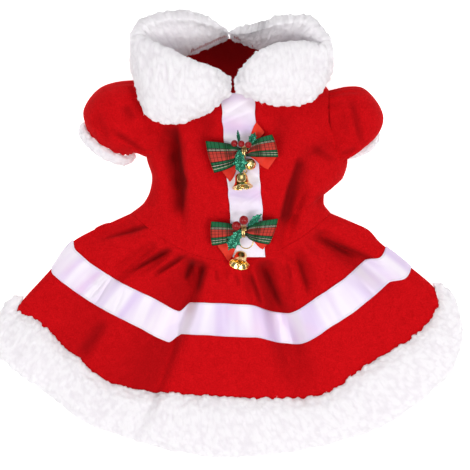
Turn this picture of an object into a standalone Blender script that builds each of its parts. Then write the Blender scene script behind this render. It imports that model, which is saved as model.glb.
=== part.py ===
"""A dog dress lying on its back: fleece bodice, puff sleeves and gathered skirt, plush collar, cuffs and hem,
satin ribbons, and two plaid bows with holly, berries and bells.

Metres, +Z up. The dress lies in XY with its neck towards +Y and its decorated side up. The origin is on the
floor, under the middle of the waist. Places in plan are shares of the named sizes beside them.
"""

from collections import namedtuple
from math import atan, cos, exp, pi, radians, sin

import bmesh
import bpy
from mathutils import Vector

# Walls and gaps
FLEECE = 0.0020
SATIN = 0.0009
RIBBON_LOOP = 0.0008
SEAM_GAP = 0.0004
LAYER_GAP = 0.0003

# Bodice
HALF_CHEST = 0.076
SIDE_LENGTH = 0.1148
WAIST_Y = 0.0167
NECK_FRONT_DIP = 0.0228
NECK_BACK_RISE = 0.0182
WAIST_FRONT_DIP = 0.0365
WAIST_BACK_DIP = 0.0230
CHEST_RISE = 0.0440
EDGE_HEIGHT = 0.0170

# Skirt
HEM_REACH = 0.2580
FAN_X = -0.0167
FAN_Y = 0.0760
SKIRT_RISE = 0.0360
HEM_RISE = 0.0190
HEM_EDGE_HEIGHT = 0.0110
STRIPE_WIDTH = 0.0250
HEM_TRIM_WIDTH = 0.0420
HEM_PILE = 0.0080
HEM_PILE_BACK = 0.0054
HEM_UNDERLAP = 0.0120
HEM_BACK_HEIGHT = LAYER_GAP + HEM_PILE_BACK
LEAST_HOLLOW = 0.0055

# Placket ribbon
PLACKET_WIDTH = 0.0250
PLACKET_GAP = 0.0006
PLACKET_TOP_Y = 0.1075
PLACKET_LOW_Y = -0.0168
PLACKET_TOP_X = 0.0016
PLACKET_LOW_X = 0.0107

# Collar
COLLAR_PILE = 0.0095
COLLAR_GAP = 0.0010

# Sleeves and cuffs
CUFF_LENGTH = 0.0085
CUFF_PILE = 0.0062
CUFF_INSET = 0.0018
ARMHOLE_GAP = 0.0007

# Bow ornaments, with heights above the satin or fleece that they lie on
BOW_REACH = 0.0290
KNOT_HALF_WIDTH = 0.0029
KNOT_HEIGHT = 0.0054
LOOP_HALF_DEPTH = 0.0042
TAIL_THICKNESS = 0.0008
TAIL_ROOT_LIFT = 0.0017
LEAF_LENGTH = 0.0185
LEAF_HALF_WIDTH = 0.0058
LEAF_THICKNESS = 0.0009
LEAF_LEVEL = 0.0100
UPPER_BERRY_RADIUS = 0.00255
LOWER_BERRY_RADIUS = 0.0035
BELL_RADIUS = 0.0080
BELL_HEIGHT = 0.0112
BELL_WALL = 0.0007
BELL_TILT = 12.0
BELL_SINK = 0.0017
JINGLE_RADIUS = 0.0044
RING_RADIUS = 0.0052
LINK_RADIUS = 0.0014
RING_WIRE = 0.0004
TIE_WIRE = 0.0006
TIE_HALF_WIDTH = 0.0043
TIE_HALF_HEIGHT = 0.0034
TIE_PITCH = 0.0014
UPPER_KNOT = (0.0068, 0.0627)
LOWER_KNOT = (0.0065, 0.0028)

# How finely the faceted shapes are cut
BODICE_FRONT_STEPS = 28
BODICE_BACK_STEPS = 12
SKIRT_FRONT_STEPS = 54
SKIRT_BACK_STEPS = 14
BODICE_EVENNESS = 0.5
SKIRT_EVENNESS = 0.72
SLEEVE_SIDES = 16
LOOP_TURNS = (0, 0.03, 0.12, 0.22, 0.33, 0.43, 0.5, 0.57, 0.67, 0.78, 0.88, 0.97, 1)
SLEEVE_SHARES = (0, 0.2, 0.42, 0.64, 0.87, 1.0)
TURNED_SIDES = 12

BodiceRow = namedtuple("BodiceRow", "along left right rise edge")
# along is a share of SIDE_LENGTH from the neck, left and right of HALF_CHEST, rise of CHEST_RISE,
# edge of EDGE_HEIGHT
BODICE_ROWS = (
    BodiceRow(along=0.00, left=-0.74, right=0.67, rise=0.88, edge=1.10),
    BodiceRow(along=0.13, left=-0.89, right=0.88, rise=0.96, edge=1.05),
    BodiceRow(along=0.30, left=-0.94, right=1.03, rise=1.00, edge=1.00),
    BodiceRow(along=0.50, left=-0.92, right=1.11, rise=1.00, edge=1.00),
    BodiceRow(along=0.65, left=-0.88, right=1.13, rise=0.97, edge=1.00),
    BodiceRow(along=0.77, left=-0.83, right=1.08, rise=0.92, edge=1.00),
    BodiceRow(along=0.85, left=-0.85, right=0.90, rise=0.87, edge=0.98),
    BodiceRow(along=0.93, left=-0.91, right=0.89, rise=0.83, edge=0.95),
    BodiceRow(along=1.00, left=-1.04, right=0.96, rise=0.80, edge=0.92),
)

DentRow = namedtuple("DentRow", "across_top across_low starts ends left_width right_width depth")
# across and the widths are shares of HALF_CHEST, starts and ends of SIDE_LENGTH, depth of CHEST_RISE
BODICE_DENTS = (
    DentRow(-0.60, -0.53, 0.30, 1.00, 0.15, 0.055, 0.34),
    DentRow(0.68, 0.44, 0.58, 1.12, 0.07, 0.09, 0.22),
    DentRow(-0.30, -0.34, 0.95, 1.25, 0.10, 0.10, 0.10),
    DentRow(0.98, 0.80, 0.70, 0.95, 0.06, 0.08, 0.10),
)

SkirtRow = namedtuple("SkirtRow", "bearing hem stripe trim")
# bearing is in degrees from straight down the dress, hem is a share of HEM_REACH from the fan's centre,
# stripe is where the satin starts, as a share of the rib from waist to hem, and trim of HEM_TRIM_WIDTH
SKIRT_ROWS = (
    SkirtRow(bearing=-50.5, hem=0.801, stripe=0.390, trim=0.38),
    SkirtRow(bearing=-48.4, hem=0.887, stripe=0.354, trim=0.62),
    SkirtRow(bearing=-44.0, hem=0.906, stripe=0.330, trim=0.87),
    SkirtRow(bearing=-34.0, hem=0.904, stripe=0.306, trim=0.79),
    SkirtRow(bearing=-24.0, hem=0.922, stripe=0.285, trim=0.75),
    SkirtRow(bearing=-14.5, hem=0.926, stripe=0.300, trim=0.84),
    SkirtRow(bearing=-11.5, hem=0.930, stripe=0.238, trim=0.89),
    SkirtRow(bearing=0.0, hem=0.946, stripe=0.215, trim=1.00),
    SkirtRow(bearing=10.0, hem=0.955, stripe=0.227, trim=0.94),
    SkirtRow(bearing=18.0, hem=0.966, stripe=0.285, trim=0.85),
    SkirtRow(bearing=23.0, hem=0.976, stripe=0.312, trim=0.82),
    SkirtRow(bearing=33.0, hem=0.993, stripe=0.288, trim=1.00),
    SkirtRow(bearing=44.0, hem=0.990, stripe=0.291, trim=0.86),
    SkirtRow(bearing=50.0, hem=0.960, stripe=0.310, trim=0.68),
    SkirtRow(bearing=53.5, hem=0.925, stripe=0.385, trim=0.52),
    SkirtRow(bearing=57.0, hem=0.848, stripe=0.436, trim=0.38),
)

SideRow = namedtuple("SideRow", "along left right")
# how far the skirt's side edges bow out from a straight rib, as shares of HEM_REACH
SKIRT_SIDES = (
    SideRow(along=0.00, left=0.000, right=0.000),
    SideRow(along=0.15, left=0.015, right=0.011),
    SideRow(along=0.27, left=0.028, right=0.018),
    SideRow(along=0.39, left=0.035, right=0.005),
    SideRow(along=0.60, left=0.010, right=-0.005),
    SideRow(along=0.80, left=-0.008, right=-0.015),
    SideRow(along=0.95, left=-0.020, right=-0.026),
    SideRow(along=1.10, left=-0.020, right=-0.026),
)

FoldRow = namedtuple("FoldRow", "waist_bearing far_bearing starts ends left_width right_width depth")
# bearings and widths are in degrees, starts and ends are shares of the rib, depth is a share of SKIRT_RISE
SKIRT_FOLDS = (
    FoldRow(-8.5, -20.0, -0.05, 1.40, 10.0, 2.4, 0.36),
    FoldRow(-39.0, -28.0, 0.30, 1.40, 5.5, 6.0, 0.15),
    FoldRow(20.4, 18.5, -0.05, 0.86, 3.2, 4.2, 0.38),
    FoldRow(46.5, 51.5, -0.05, 0.62, 3.0, 2.6, 0.26),
    FoldRow(-43.0, -52.0, -0.04, 0.42, 2.2, 2.6, 0.20),
    FoldRow(-31.5, -36.5, 0.00, 0.44, 2.2, 2.2, 0.19),
    FoldRow(-23.5, -31.5, -0.04, 0.26, 2.0, 2.0, 0.17),
    FoldRow(-15.5, -10.0, -0.02, 0.20, 1.8, 1.8, 0.14),
    FoldRow(1.8, 1.6, -0.04, 0.14, 2.0, 2.0, 0.10),
    FoldRow(11.8, 13.8, -0.02, 0.30, 2.0, 2.0, 0.13),
    FoldRow(27.0, 25.0, 0.00, 0.32, 2.0, 2.0, 0.12),
    FoldRow(37.5, 31.0, -0.02, 0.36, 2.2, 2.2, 0.13),
    FoldRow(-38.0, -44.0, -0.04, 0.16, 2.0, 2.0, 0.10),
    FoldRow(33.0, 34.0, -0.04, 0.14, 1.9, 1.9, 0.08),
    FoldRow(41.5, 43.0, -0.04, 0.20, 2.0, 2.0, 0.10),
)

CollarRow = namedtuple("CollarRow", "seam_x seam_y roll_x roll_y edge_x edge_y seam_z roll_z edge_z fill")
# x and y are shares of HALF_CHEST, x from the dress's middle and y from the neck's side points, z is a share
# of CHEST_RISE, and fill is a share of COLLAR_PILE. Each side runs from the front middle to the back middle.
COLLAR_LEFT = (
    CollarRow(-0.045, -0.29, -0.050, -0.20, -0.050, -0.32, 1.04, 1.17, 1.15, 0.60),
    CollarRow(-0.13, -0.28, -0.19, -0.12, -0.15, -0.42, 1.02, 1.38, 1.20, 0.85),
    CollarRow(-0.27, -0.24, -0.36, -0.08, -0.37, -0.57, 1.00, 1.46, 1.19, 1.00),
    CollarRow(-0.43, -0.18, -0.59, 0.02, -0.64, -0.63, 0.94, 1.42, 1.17, 1.00),
    CollarRow(-0.55, -0.12, -0.82, 0.12, -0.89, -0.52, 0.84, 1.32, 1.14, 1.00),
    CollarRow(-0.62, -0.04, -0.96, 0.22, -1.00, -0.14, 0.66, 1.18, 0.86, 1.00),
    CollarRow(-0.62, 0.02, -0.92, 0.35, -0.96, 0.20, 0.42, 1.06, 0.40, 1.00),
    CollarRow(-0.52, 0.06, -0.72, 0.43, -0.76, 0.32, 0.20, 0.98, 0.18, 1.00),
    CollarRow(-0.34, 0.12, -0.46, 0.45, -0.47, 0.36, 0.13, 0.92, 0.14, 1.00),
    CollarRow(-0.18, 0.19, -0.24, 0.39, -0.25, 0.32, 0.11, 0.78, 0.14, 0.90),
    CollarRow(-0.105, 0.24, -0.110, 0.30, -0.110, 0.275, 0.10, 0.38, 0.14, 0.60),
)
COLLAR_RIGHT = (
    CollarRow(0.010, -0.29, 0.015, -0.20, 0.010, -0.32, 1.04, 1.17, 1.15, 0.60),
    CollarRow(0.10, -0.26, 0.12, -0.07, 0.17, -0.37, 1.02, 1.36, 1.20, 0.85),
    CollarRow(0.23, -0.22, 0.27, 0.05, 0.34, -0.43, 1.00, 1.42, 1.19, 1.00),
    CollarRow(0.37, -0.16, 0.45, 0.12, 0.57, -0.45, 0.94, 1.40, 1.17, 1.00),
    CollarRow(0.48, -0.10, 0.65, 0.14, 0.79, -0.37, 0.84, 1.32, 1.14, 1.00),
    CollarRow(0.55, -0.04, 0.87, 0.13, 0.94, -0.15, 0.66, 1.22, 0.90, 1.00),
    CollarRow(0.56, 0.02, 0.86, 0.26, 0.90, 0.10, 0.42, 1.12, 0.40, 1.00),
    CollarRow(0.46, 0.06, 0.68, 0.41, 0.72, 0.28, 0.20, 1.00, 0.18, 1.00),
    CollarRow(0.30, 0.10, 0.42, 0.40, 0.44, 0.30, 0.13, 0.92, 0.14, 1.00),
    CollarRow(0.13, 0.17, 0.16, 0.33, 0.17, 0.26, 0.11, 0.76, 0.14, 0.90),
    CollarRow(-0.035, 0.24, -0.040, 0.30, -0.040, 0.275, 0.10, 0.38, 0.14, 0.60),
)

SleeveRow = namedtuple("SleeveRow", "x y z turn_x turn_y turn_z long tall")
# x is a share of HALF_CHEST, y of SIDE_LENGTH down from the neck's side points, z and tall of CHEST_RISE,
# long of SIDE_LENGTH, and turn is the way that the sleeve runs there
SLEEVE_LEFT = (
    SleeveRow(-0.77, 0.391, 0.42, -1.00, 0.00, 0.00, 0.235, 0.318),
    SleeveRow(-0.94, 0.377, 0.46, -0.98, -0.20, 0.00, 0.253, 0.42),
    SleeveRow(-1.13, 0.391, 0.49, -0.85, -0.50, -0.10, 0.253, 0.455),
    SleeveRow(-1.25, 0.450, 0.465, -0.60, -0.70, -0.35, 0.218, 0.40),
    SleeveRow(-1.25, 0.508, 0.45, -0.42, -0.65, -0.60, 0.172, 0.27),
)
SLEEVE_RIGHT = (
    SleeveRow(0.94, 0.424, 0.40, 1.00, 0.00, 0.00, 0.235, 0.284),
    SleeveRow(1.08, 0.415, 0.46, 0.97, -0.15, -0.12, 0.250, 0.41),
    SleeveRow(1.18, 0.420, 0.48, 0.88, -0.32, -0.34, 0.240, 0.43),
    SleeveRow(1.24, 0.485, 0.44, 0.58, -0.58, -0.56, 0.205, 0.37),
    SleeveRow(1.18, 0.495, 0.40, 0.15, -0.46, -0.87, 0.133, 0.227),
)

LoopRow = namedtuple("LoopRow", "name top_x top_y low_x low_y lift")
# the far edge's two ends, as shares of BOW_REACH from the knot, and how much higher the first end is, as a
# share of LOOP_HALF_DEPTH
UPPER_LOOPS = (
    LoopRow("upper_loop_left", -0.99, 0.29, -0.76, -0.55, 0.0),
    LoopRow("upper_loop_right", 0.72, 0.46, 0.88, -0.13, 0.6),
)
LOWER_LOOPS = (
    LoopRow("lower_loop_left", -0.83, 0.26, -0.81, -0.38, -0.2),
    LoopRow("lower_loop_right", 0.89, 0.33, 0.65, -0.35, 0.3),
)

TailRow = namedtuple("TailRow", "name tip_x tip_y half_width")
# the tail's tip as shares of BOW_REACH from the knot, and its half width as a share of it
UPPER_TAILS = (
    TailRow("upper_tail_left", -0.55, -0.62, 0.24),
    TailRow("upper_tail_right", 0.80, -0.30, 0.20),
    TailRow("upper_tail_top", 0.46, 0.70, 0.16),
)
LOWER_TAILS = (
    TailRow("lower_tail_left", -0.58, -0.62, 0.24),
    TailRow("lower_tail_right", 0.68, -0.34, 0.20),
)

LeafRow = namedtuple("LeafRow", "name root_x root_y bearing length width level droop")
# root as shares of BOW_REACH from the knot, bearing in degrees from +X, length and width as shares of a
# leaf's, level as a share of LEAF_LEVEL, and how far the tip droops below the root, as a share of it
UPPER_LEAVES = (
    LeafRow("upper_leaf_front", -0.13, 0.06, -85.5, 1.02, 0.90, 1.00, 0.00),
    LeafRow("upper_leaf_back", 0.13, 0.15, 66.0, 0.62, 0.55, 0.93, 0.25),
    LeafRow("upper_leaf_top", -0.12, 0.20, 97.0, 0.58, 0.22, 0.93, 0.16),
)
LOWER_LEAVES = (
    LeafRow("lower_leaf_front", -0.08, 0.03, -121.5, 0.96, 1.00, 1.00, 0.00),
    LeafRow("lower_leaf_back", 0.11, 0.14, 41.0, 0.74, 0.52, 0.93, 0.10),
)

BerryRow = namedtuple("BerryRow", "name x y level")
# x and y as shares of BOW_REACH from the knot, level as a share of LEAF_LEVEL
UPPER_BERRIES = (
    BerryRow("upper_berry_1", -0.250, 0.225, 1.00),
    BerryRow("upper_berry_2", -0.070, 0.215, 1.33),
    BerryRow("upper_berry_3", 0.110, 0.185, 1.34),
)
LOWER_BERRIES = (
    BerryRow("lower_berry_1", 0.005, 0.290, 1.30),
    BerryRow("lower_berry_2", -0.190, 0.145, 1.22),
)

LeafStation = namedtuple("LeafStation", "along half_width")
# a holly leaf's outline: shares of its length and half width, with a spine at each wide station
LEAF_STATIONS = (
    LeafStation(0.00, 0.10),
    LeafStation(0.16, 0.92),
    LeafStation(0.30, 0.55),
    LeafStation(0.46, 1.00),
    LeafStation(0.60, 0.50),
    LeafStation(0.73, 0.80),
    LeafStation(0.85, 0.30),
    LeafStation(1.00, 0.04),
)

BellStation = namedtuple("BellStation", "height radius")
# a bell's outer side from its rim up to its crown, as shares of BELL_HEIGHT and BELL_RADIUS
BELL_STATIONS = (
    BellStation(0.00, 1.00),
    BellStation(0.12, 0.86),
    BellStation(0.34, 0.64),
    BellStation(0.70, 0.51),
    BellStation(0.90, 0.38),
    BellStation(0.99, 0.15),
)


def clear_scene():
    """Removes what the startup file holds."""
    for thing in list(bpy.data.objects):
        bpy.data.objects.remove(thing)


def make_material(name, colour, roughness, metallic=0.0):
    """A plain Principled material."""
    material = bpy.data.materials.new(name)
    material.use_nodes = True
    shader = material.node_tree.nodes["Principled BSDF"]
    shader.inputs["Base Color"].default_value = (*colour, 1.0)
    shader.inputs["Roughness"].default_value = roughness
    shader.inputs["Metallic"].default_value = metallic
    material.diffuse_color = (*colour, 1.0)
    return material


def add_object(name, bm, material, collection):
    """Turns a bmesh into a named object in the collection, with its normals pointing out."""
    bmesh.ops.recalc_face_normals(bm, faces=bm.faces)
    mesh = bpy.data.meshes.new(name)
    bm.to_mesh(mesh)
    bm.free()
    mesh.shade_smooth()
    mesh.set_sharp_from_angle(angle=radians(50))
    mesh.materials.append(material)
    made = bpy.data.objects.new(name, mesh)
    collection.objects.link(made)
    return made


def smoothstep(low, high, value):
    """0 below low, 1 above high, and a smooth rise between."""
    share = min(1.0, max(0.0, (value - low) / (high - low)))
    return share * share * (3 - 2 * share)


def mix(first, second, share):
    """The value that lies share of the way from first to second."""
    return first + (second - first) * share


def column_at(rows, key, column, at):
    """A column of a table at any place between its rows, on a smooth curve that doesn't overshoot."""
    places = [getattr(row, key) for row in rows]
    values = [getattr(row, column) for row in rows]
    at = min(max(at, places[0]), places[-1])
    last = len(rows) - 1
    k = max(i for i in range(last) if places[i] <= at or i == 0)
    slopes = [(values[i + 1] - values[i]) / (places[i + 1] - places[i]) for i in range(last)]

    def tangent(i):
        before = slopes[max(i - 1, 0)]
        after = slopes[min(i, last - 1)]
        return 0.0 if before * after <= 0 else 2 * before * after / (before + after)

    span = places[k + 1] - places[k]
    t = (at - places[k]) / span
    rise = (1 + 2 * t) * (1 - t) ** 2 * values[k] + t * t * (3 - 2 * t) * values[k + 1]
    lean = t * (1 - t) ** 2 * tangent(k) - t * t * (1 - t) * tangent(k + 1)
    return rise + lean * span


def valley(offset, left_width, right_width):
    """A dent's depth share at an offset across it: 1 in the middle, with its own width on each side."""
    width = left_width if offset < 0 else right_width
    return exp(-((offset / width) ** 2))


def window(along, starts, ends):
    """1 between starts and ends, fading in and out smoothly inside them."""
    fade_in = smoothstep(starts, starts + 0.12, along)
    return fade_in * (1 - smoothstep(mix(starts, ends, 0.45), ends, along))


def across_at(k, steps, evenness):
    """The place of a step across a flattened tube, from -1 at its left edge to 1, closer together at the edges."""
    t = -1 + 2 * k / steps
    return mix(sin(pi * t / 2), t, evenness)


def around(front_steps, back_steps, evenness):
    """(across, is_front) of each sample round a flattened tube, from its left edge over the front and back."""
    front = [(across_at(k, front_steps, evenness), True) for k in range(front_steps)]
    back = [(-across_at(k, back_steps, evenness), False) for k in range(back_steps)]
    return front + back


def fullness(across, power):
    """How far a flattened tube has risen from its side edge: 0 at the edge, 1 in the middle."""
    return max(0.0, 1 - abs(across) ** power) ** (1 / 2)


def bodice_point(across, is_front, along, outset):
    """A point of the bodice. across runs from -1 at the left edge to 1, along from 0 at the neck to 1."""
    half = HALF_CHEST
    left = column_at(BODICE_ROWS, "along", "left", along) * half - outset
    right = column_at(BODICE_ROWS, "along", "right", along) * half + outset
    x = mix(left, right, (across + 1) / 2)
    bow = 1 - across * across
    front_dip = mix(NECK_FRONT_DIP, WAIST_FRONT_DIP, along)
    back_dip = mix(-NECK_BACK_RISE, WAIST_BACK_DIP, along)
    y = WAIST_Y + SIDE_LENGTH * (1 - along) - (front_dip if is_front else back_dip) * bow
    edge = column_at(BODICE_ROWS, "along", "edge", along) * EDGE_HEIGHT
    if not is_front:
        full = fullness(across, 6)
        return Vector((x, y, edge * (1 - min(1.0, 1.3 * full)) - outset * full))
    rise = column_at(BODICE_ROWS, "along", "rise", along) * CHEST_RISE
    z = edge + (rise - edge) * fullness(across, 3.0) + outset * fullness(across, 6)
    middle = (x - outset * across) / half
    for dent in BODICE_DENTS:
        share = (along - dent.starts) / (dent.ends - dent.starts)
        place = mix(dent.across_top, dent.across_low, share)
        depth = dent.depth * CHEST_RISE * window(along, dent.starts, dent.ends)
        z -= depth * valley(middle - place, dent.left_width, dent.right_width) * fullness(across, 8)
    return Vector((x, y, z))


def bodice_place(x, y):
    """(across, along) of the front point that lies over x, y."""
    across, along = 0.0, 0.5
    for _ in range(24):
        left = column_at(BODICE_ROWS, "along", "left", along) * HALF_CHEST
        right = column_at(BODICE_ROWS, "along", "right", along) * HALF_CHEST
        across = min(1.0, max(-1.0, (2 * x - left - right) / (right - left)))
        bow = 1 - across * across
        above = WAIST_Y + SIDE_LENGTH - NECK_FRONT_DIP * bow - y
        along = above / (SIDE_LENGTH + (WAIST_FRONT_DIP - NECK_FRONT_DIP) * bow)
    return across, along


def bodice_height(x, y, outset=0.0):
    """The height of the bodice's front over x, y."""
    across, along = bodice_place(x, y)
    return bodice_point(across, True, min(1.0, max(0.0, along)), outset).z


def skirt_rib(across, is_front):
    """(waist point, hem point, hem bearing) of the rib at a place round the skirt, in plan."""
    bearing = mix(SKIRT_ROWS[0].bearing, SKIRT_ROWS[-1].bearing, (across + 1) / 2)
    reach = column_at(SKIRT_ROWS, "bearing", "hem", bearing) * HEM_REACH
    waist = bodice_point(across, is_front, 1.0, 0.0)
    hem = Vector((FAN_X + reach * sin(radians(bearing)), FAN_Y - reach * cos(radians(bearing)), 0))
    return waist, hem, bearing


def skirt_folds(bearing, along):
    """How far the folds press the skirt's front down at a place."""
    depth = 0.0
    for fold in SKIRT_FOLDS:
        share = (along - fold.starts) / (fold.ends - fold.starts)
        place = mix(fold.waist_bearing, fold.far_bearing, share)
        sunk = fold.depth * SKIRT_RISE * window(along, fold.starts, fold.ends)
        depth += sunk * valley(bearing - place, fold.left_width, fold.right_width)
    return depth


def skirt_point(across, is_front, along, outset):
    """A point of the skirt. along runs from 0 at the waist to 1 at the hem, outset is out of the cloth."""
    waist, hem, bearing = skirt_rib(across, is_front)
    rib = Vector((hem.x - waist.x, hem.y - waist.y, 0))
    place = Vector((waist.x, waist.y, 0)) + rib.normalized() * SEAM_GAP
    place += rib * (1 - SEAM_GAP / rib.length) * along
    side = column_at(SKIRT_SIDES, "along", "left" if across < 0 else "right", along) * HEM_REACH
    sideways = side * abs(across) ** 6 + outset * smoothstep(0.9, 1.0, abs(across))
    place += Vector((-rib.y, rib.x, 0)).normalized() * sideways * (1 if across > 0 else -1)
    edge = mix(BODICE_ROWS[-1].edge * EDGE_HEIGHT, HEM_EDGE_HEIGHT, smoothstep(0, 1, along))
    back = HEM_BACK_HEIGHT * smoothstep(0, 0.6, along)
    full = fullness(across, 8)
    if not is_front:
        rim = mix(min(1.0, 1.3 * fullness(across, 6)), min(1.0, 1.3 * full), smoothstep(0, 0.2, along))
        return place + Vector((0, 0, edge - (edge - back) * rim - outset * full))
    height = mix(waist.z, HEM_RISE, 1 - max(0.0, 1 - along) ** 1.6)
    shape = mix(1.0, full, smoothstep(0, 0.25, along))
    z = mix(waist.z, edge + (height - edge) * shape, smoothstep(0, 0.2, along))
    fold_bearing = mix(mix(-46.5, 56.5, (across + 1) / 2), bearing, along)
    z -= skirt_folds(fold_bearing, along) * smoothstep(0, 0.06, along) * full
    floor = back + 2 * FLEECE + LEAST_HOLLOW
    z = max(z, min(floor, edge + (floor - edge) * full))
    return place + Vector((0, 0, z + outset * full))


def rib_levels(across, is_front):
    """The shares of a rib at which its rows lie: gathers, stripe, middle, trim's top and the fleece's end."""
    waist, hem, bearing = skirt_rib(across, is_front)
    length = ((hem.x - waist.x) ** 2 + (hem.y - waist.y) ** 2) ** 0.5
    start = column_at(SKIRT_ROWS, "bearing", "stripe", bearing)
    end = start + STRIPE_WIDTH / length
    trim = 1 - column_at(SKIRT_ROWS, "bearing", "trim", bearing) * HEM_TRIM_WIDTH / length
    under = min(trim + HEM_UNDERLAP / length, 0.98)
    return [0, 0.22 * start, 0.58 * start, start, end, mix(end, trim, 0.5), trim, under]


def loft(sections, closed):
    """A closed surface through sections with equal numbers of points, joined round to the first or capped.

    Each section runs down its outer side in its first half and back up its inner side in its second, and the
    faces split along the same diagonal on both, so that layers at equal rows stay parallel.
    """
    bm = bmesh.new()
    rings = [[bm.verts.new(point) for point in section] for section in sections]
    pairs = list(zip(rings, rings[1:]))
    if closed:
        pairs.append((rings[-1], rings[0]))
    else:
        bm.faces.new(rings[0])
        bm.faces.new(rings[-1])
    for ring, after in pairs:
        for k in range(len(ring)):
            n = (k + 1) % len(ring)
            if 2 * k < len(ring) - 1:
                bm.faces.new((ring[k], ring[n], after[n]))
                bm.faces.new((ring[k], after[n], after[k]))
            else:
                bm.faces.new((ring[k], ring[n], after[k]))
                bm.faces.new((ring[n], after[n], after[k]))
    return bm


def wall_section(surface, across, is_front, levels, low, high):
    """The section of a wall along one rib: down its outer side, and back up its inner side."""
    outer = [surface(across, is_front, level, high) for level in levels]
    inner = [surface(across, is_front, level, low) for level in reversed(levels)]
    return outer + inner


def build_panel(surface, levels_at, steps, evenness, is_front):
    """The front or the back panel of a flattened tube, from one side seam to the other.

    Each panel stops half a seam gap short of the tube's side edges.
    """
    sections = []
    side = 1 if is_front else -1
    for k in range(steps + 1):
        across = side * across_at(k, steps, evenness)
        sections.append(wall_section(surface, across, is_front, levels_at(across, is_front), -FLEECE, 0.0))
    for end, beside in ((0, 1), (-1, -2)):
        ends = zip(sections[end], sections[beside])
        sections[end] = [point + (inner - point).normalized() * SEAM_GAP / 2 for point, inner in ends]
    return loft(sections, closed=False)


def bodice_levels(across, is_front):
    """The shares of the side length at which the bodice's rows lie."""
    return [0, 0.14, 0.28, 0.41, 0.54, 0.66, 0.77, 0.86, 0.93, 1.0]


def skirt_samples():
    """The places round the skirt that its stripe and its trim share."""
    return around(SKIRT_FRONT_STEPS, SKIRT_BACK_STEPS, SKIRT_EVENNESS)


def build_stripe():
    """The satin stripe that runs round the skirt."""
    low, high = LAYER_GAP, LAYER_GAP + SATIN
    sections = [
        wall_section(skirt_point, a, front, rib_levels(a, front)[3:5], low, high) for a, front in skirt_samples()
    ]
    return loft(sections, closed=True)


def pile_lump(k):
    """The pile's thickness at a place round the hem, as a share: it swells in soft lumps."""
    return 1 + 0.10 * sin(2.4 * k) + 0.07 * sin(5.3 * k + 1.0)


def build_hem_trim():
    """The plush band round the hem, over the fleece's end."""
    sections = []
    for k, (across, front) in enumerate(skirt_samples()):
        trim, under = rib_levels(across, front)[6:]
        pile = mix(HEM_PILE_BACK, HEM_PILE * pile_lump(k), 1.0 if front else 0.0)
        outer = [(trim - 0.02, 0.45), (mix(trim, 1, 0.2), 0.95), (mix(trim, 1, 0.6), 1.0), (0.985, 0.80)]
        inner = [(1.0 + 0.004 * sin(3.1 * k), 0.35), (0.99, 0.0), (under, 0.0), (trim, 0.0)]
        profile = outer + inner
        sections.append([skirt_point(across, front, g, LAYER_GAP + pile * share) for g, share in profile])
    return loft(sections, closed=True)


def build_placket():
    """The satin placket down the bodice's front middle."""
    sections = []
    steps = 11
    for k in range(steps + 1):
        share = k / steps
        y = mix(PLACKET_TOP_Y, PLACKET_LOW_Y, share)
        middle = mix(PLACKET_TOP_X, PLACKET_LOW_X, share)
        xs = [middle + PLACKET_WIDTH * across for across in (-0.5, -0.17, 0.17, 0.5)]
        top = [Vector((x, y, bodice_height(x, y, PLACKET_GAP + SATIN))) for x in xs]
        low = [Vector((x, y, bodice_height(x, y, PLACKET_GAP))) for x in reversed(xs)]
        sections.append(top + low)
    return loft(sections, closed=False)


def curve_through(points, share):
    """A point on the smooth curve through a few points, which are taken as evenly spaced."""
    spans = len(points) - 1
    k = min(int(share * spans), spans - 1)
    t = share * spans - k
    before = points[max(k - 1, 0)]
    first, second = points[k], points[k + 1]
    after = points[min(k + 2, spans)]
    tangent, next_tangent = (second - before) / 2, (after - first) / 2
    bend = (1 + 2 * t) * (1 - t) ** 2 * first + t * t * (3 - 2 * t) * second
    return bend + t * (1 - t) ** 2 * tangent - t * t * (1 - t) * next_tangent


def collar_line(row):
    """The middle of the collar's cloth at a row: up from the seam, over the roll and down to the edge."""
    neck_y = WAIST_Y + SIDE_LENGTH
    seam = Vector((row.seam_x * HALF_CHEST, neck_y + row.seam_y * HALF_CHEST, row.seam_z * CHEST_RISE))
    roll = Vector((row.roll_x * HALF_CHEST, neck_y + row.roll_y * HALF_CHEST, row.roll_z * CHEST_RISE))
    edge = Vector((row.edge_x * HALF_CHEST, neck_y + row.edge_y * HALF_CHEST, row.edge_z * CHEST_RISE))
    stand = mix(seam, roll, 0.55) + Vector((0, 0, 0.10 * (roll.z - seam.z)))
    fall = mix(roll, edge, 0.5) + Vector((0, 0, 0.28 * (roll.z - edge.z)))
    return [seam, stand, roll, fall, edge]


def build_collar(rows):
    """One half of the plush collar, from the front middle round the neck's side to the back middle."""
    sections = []
    steps = 13
    across_steps = 5
    lines = [collar_line(row) for row in rows]
    for k in range(steps + 1):
        share = k / steps
        line = [curve_through([points[i] for points in lines], share) for i in range(5)]
        fill = curve_through([Vector((row.fill, 0, 0)) for row in rows], share).x
        middle = [curve_through(line, j / across_steps) for j in range(across_steps + 1)]
        way = curve_through([points[2] for points in lines], min(1, share + 0.02))
        way = way - curve_through([points[2] for points in lines], max(0, share - 0.02))
        outer, inner = [], []
        for j, point in enumerate(middle):
            ahead = middle[min(j + 1, across_steps)] - middle[max(j - 1, 0)]
            out = ahead.cross(way).normalized()
            out = out if rows is COLLAR_RIGHT else -out
            swell = (0.40, 0.90, 1.0, 1.0, 0.95, 0.55)[j]
            half = COLLAR_PILE * fill * swell / 2
            outer.append(point + out * half)
            inner.append(point - out * half)
        sections.append(outer + inner[::-1])
    return loft(sections, closed=False)


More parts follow.
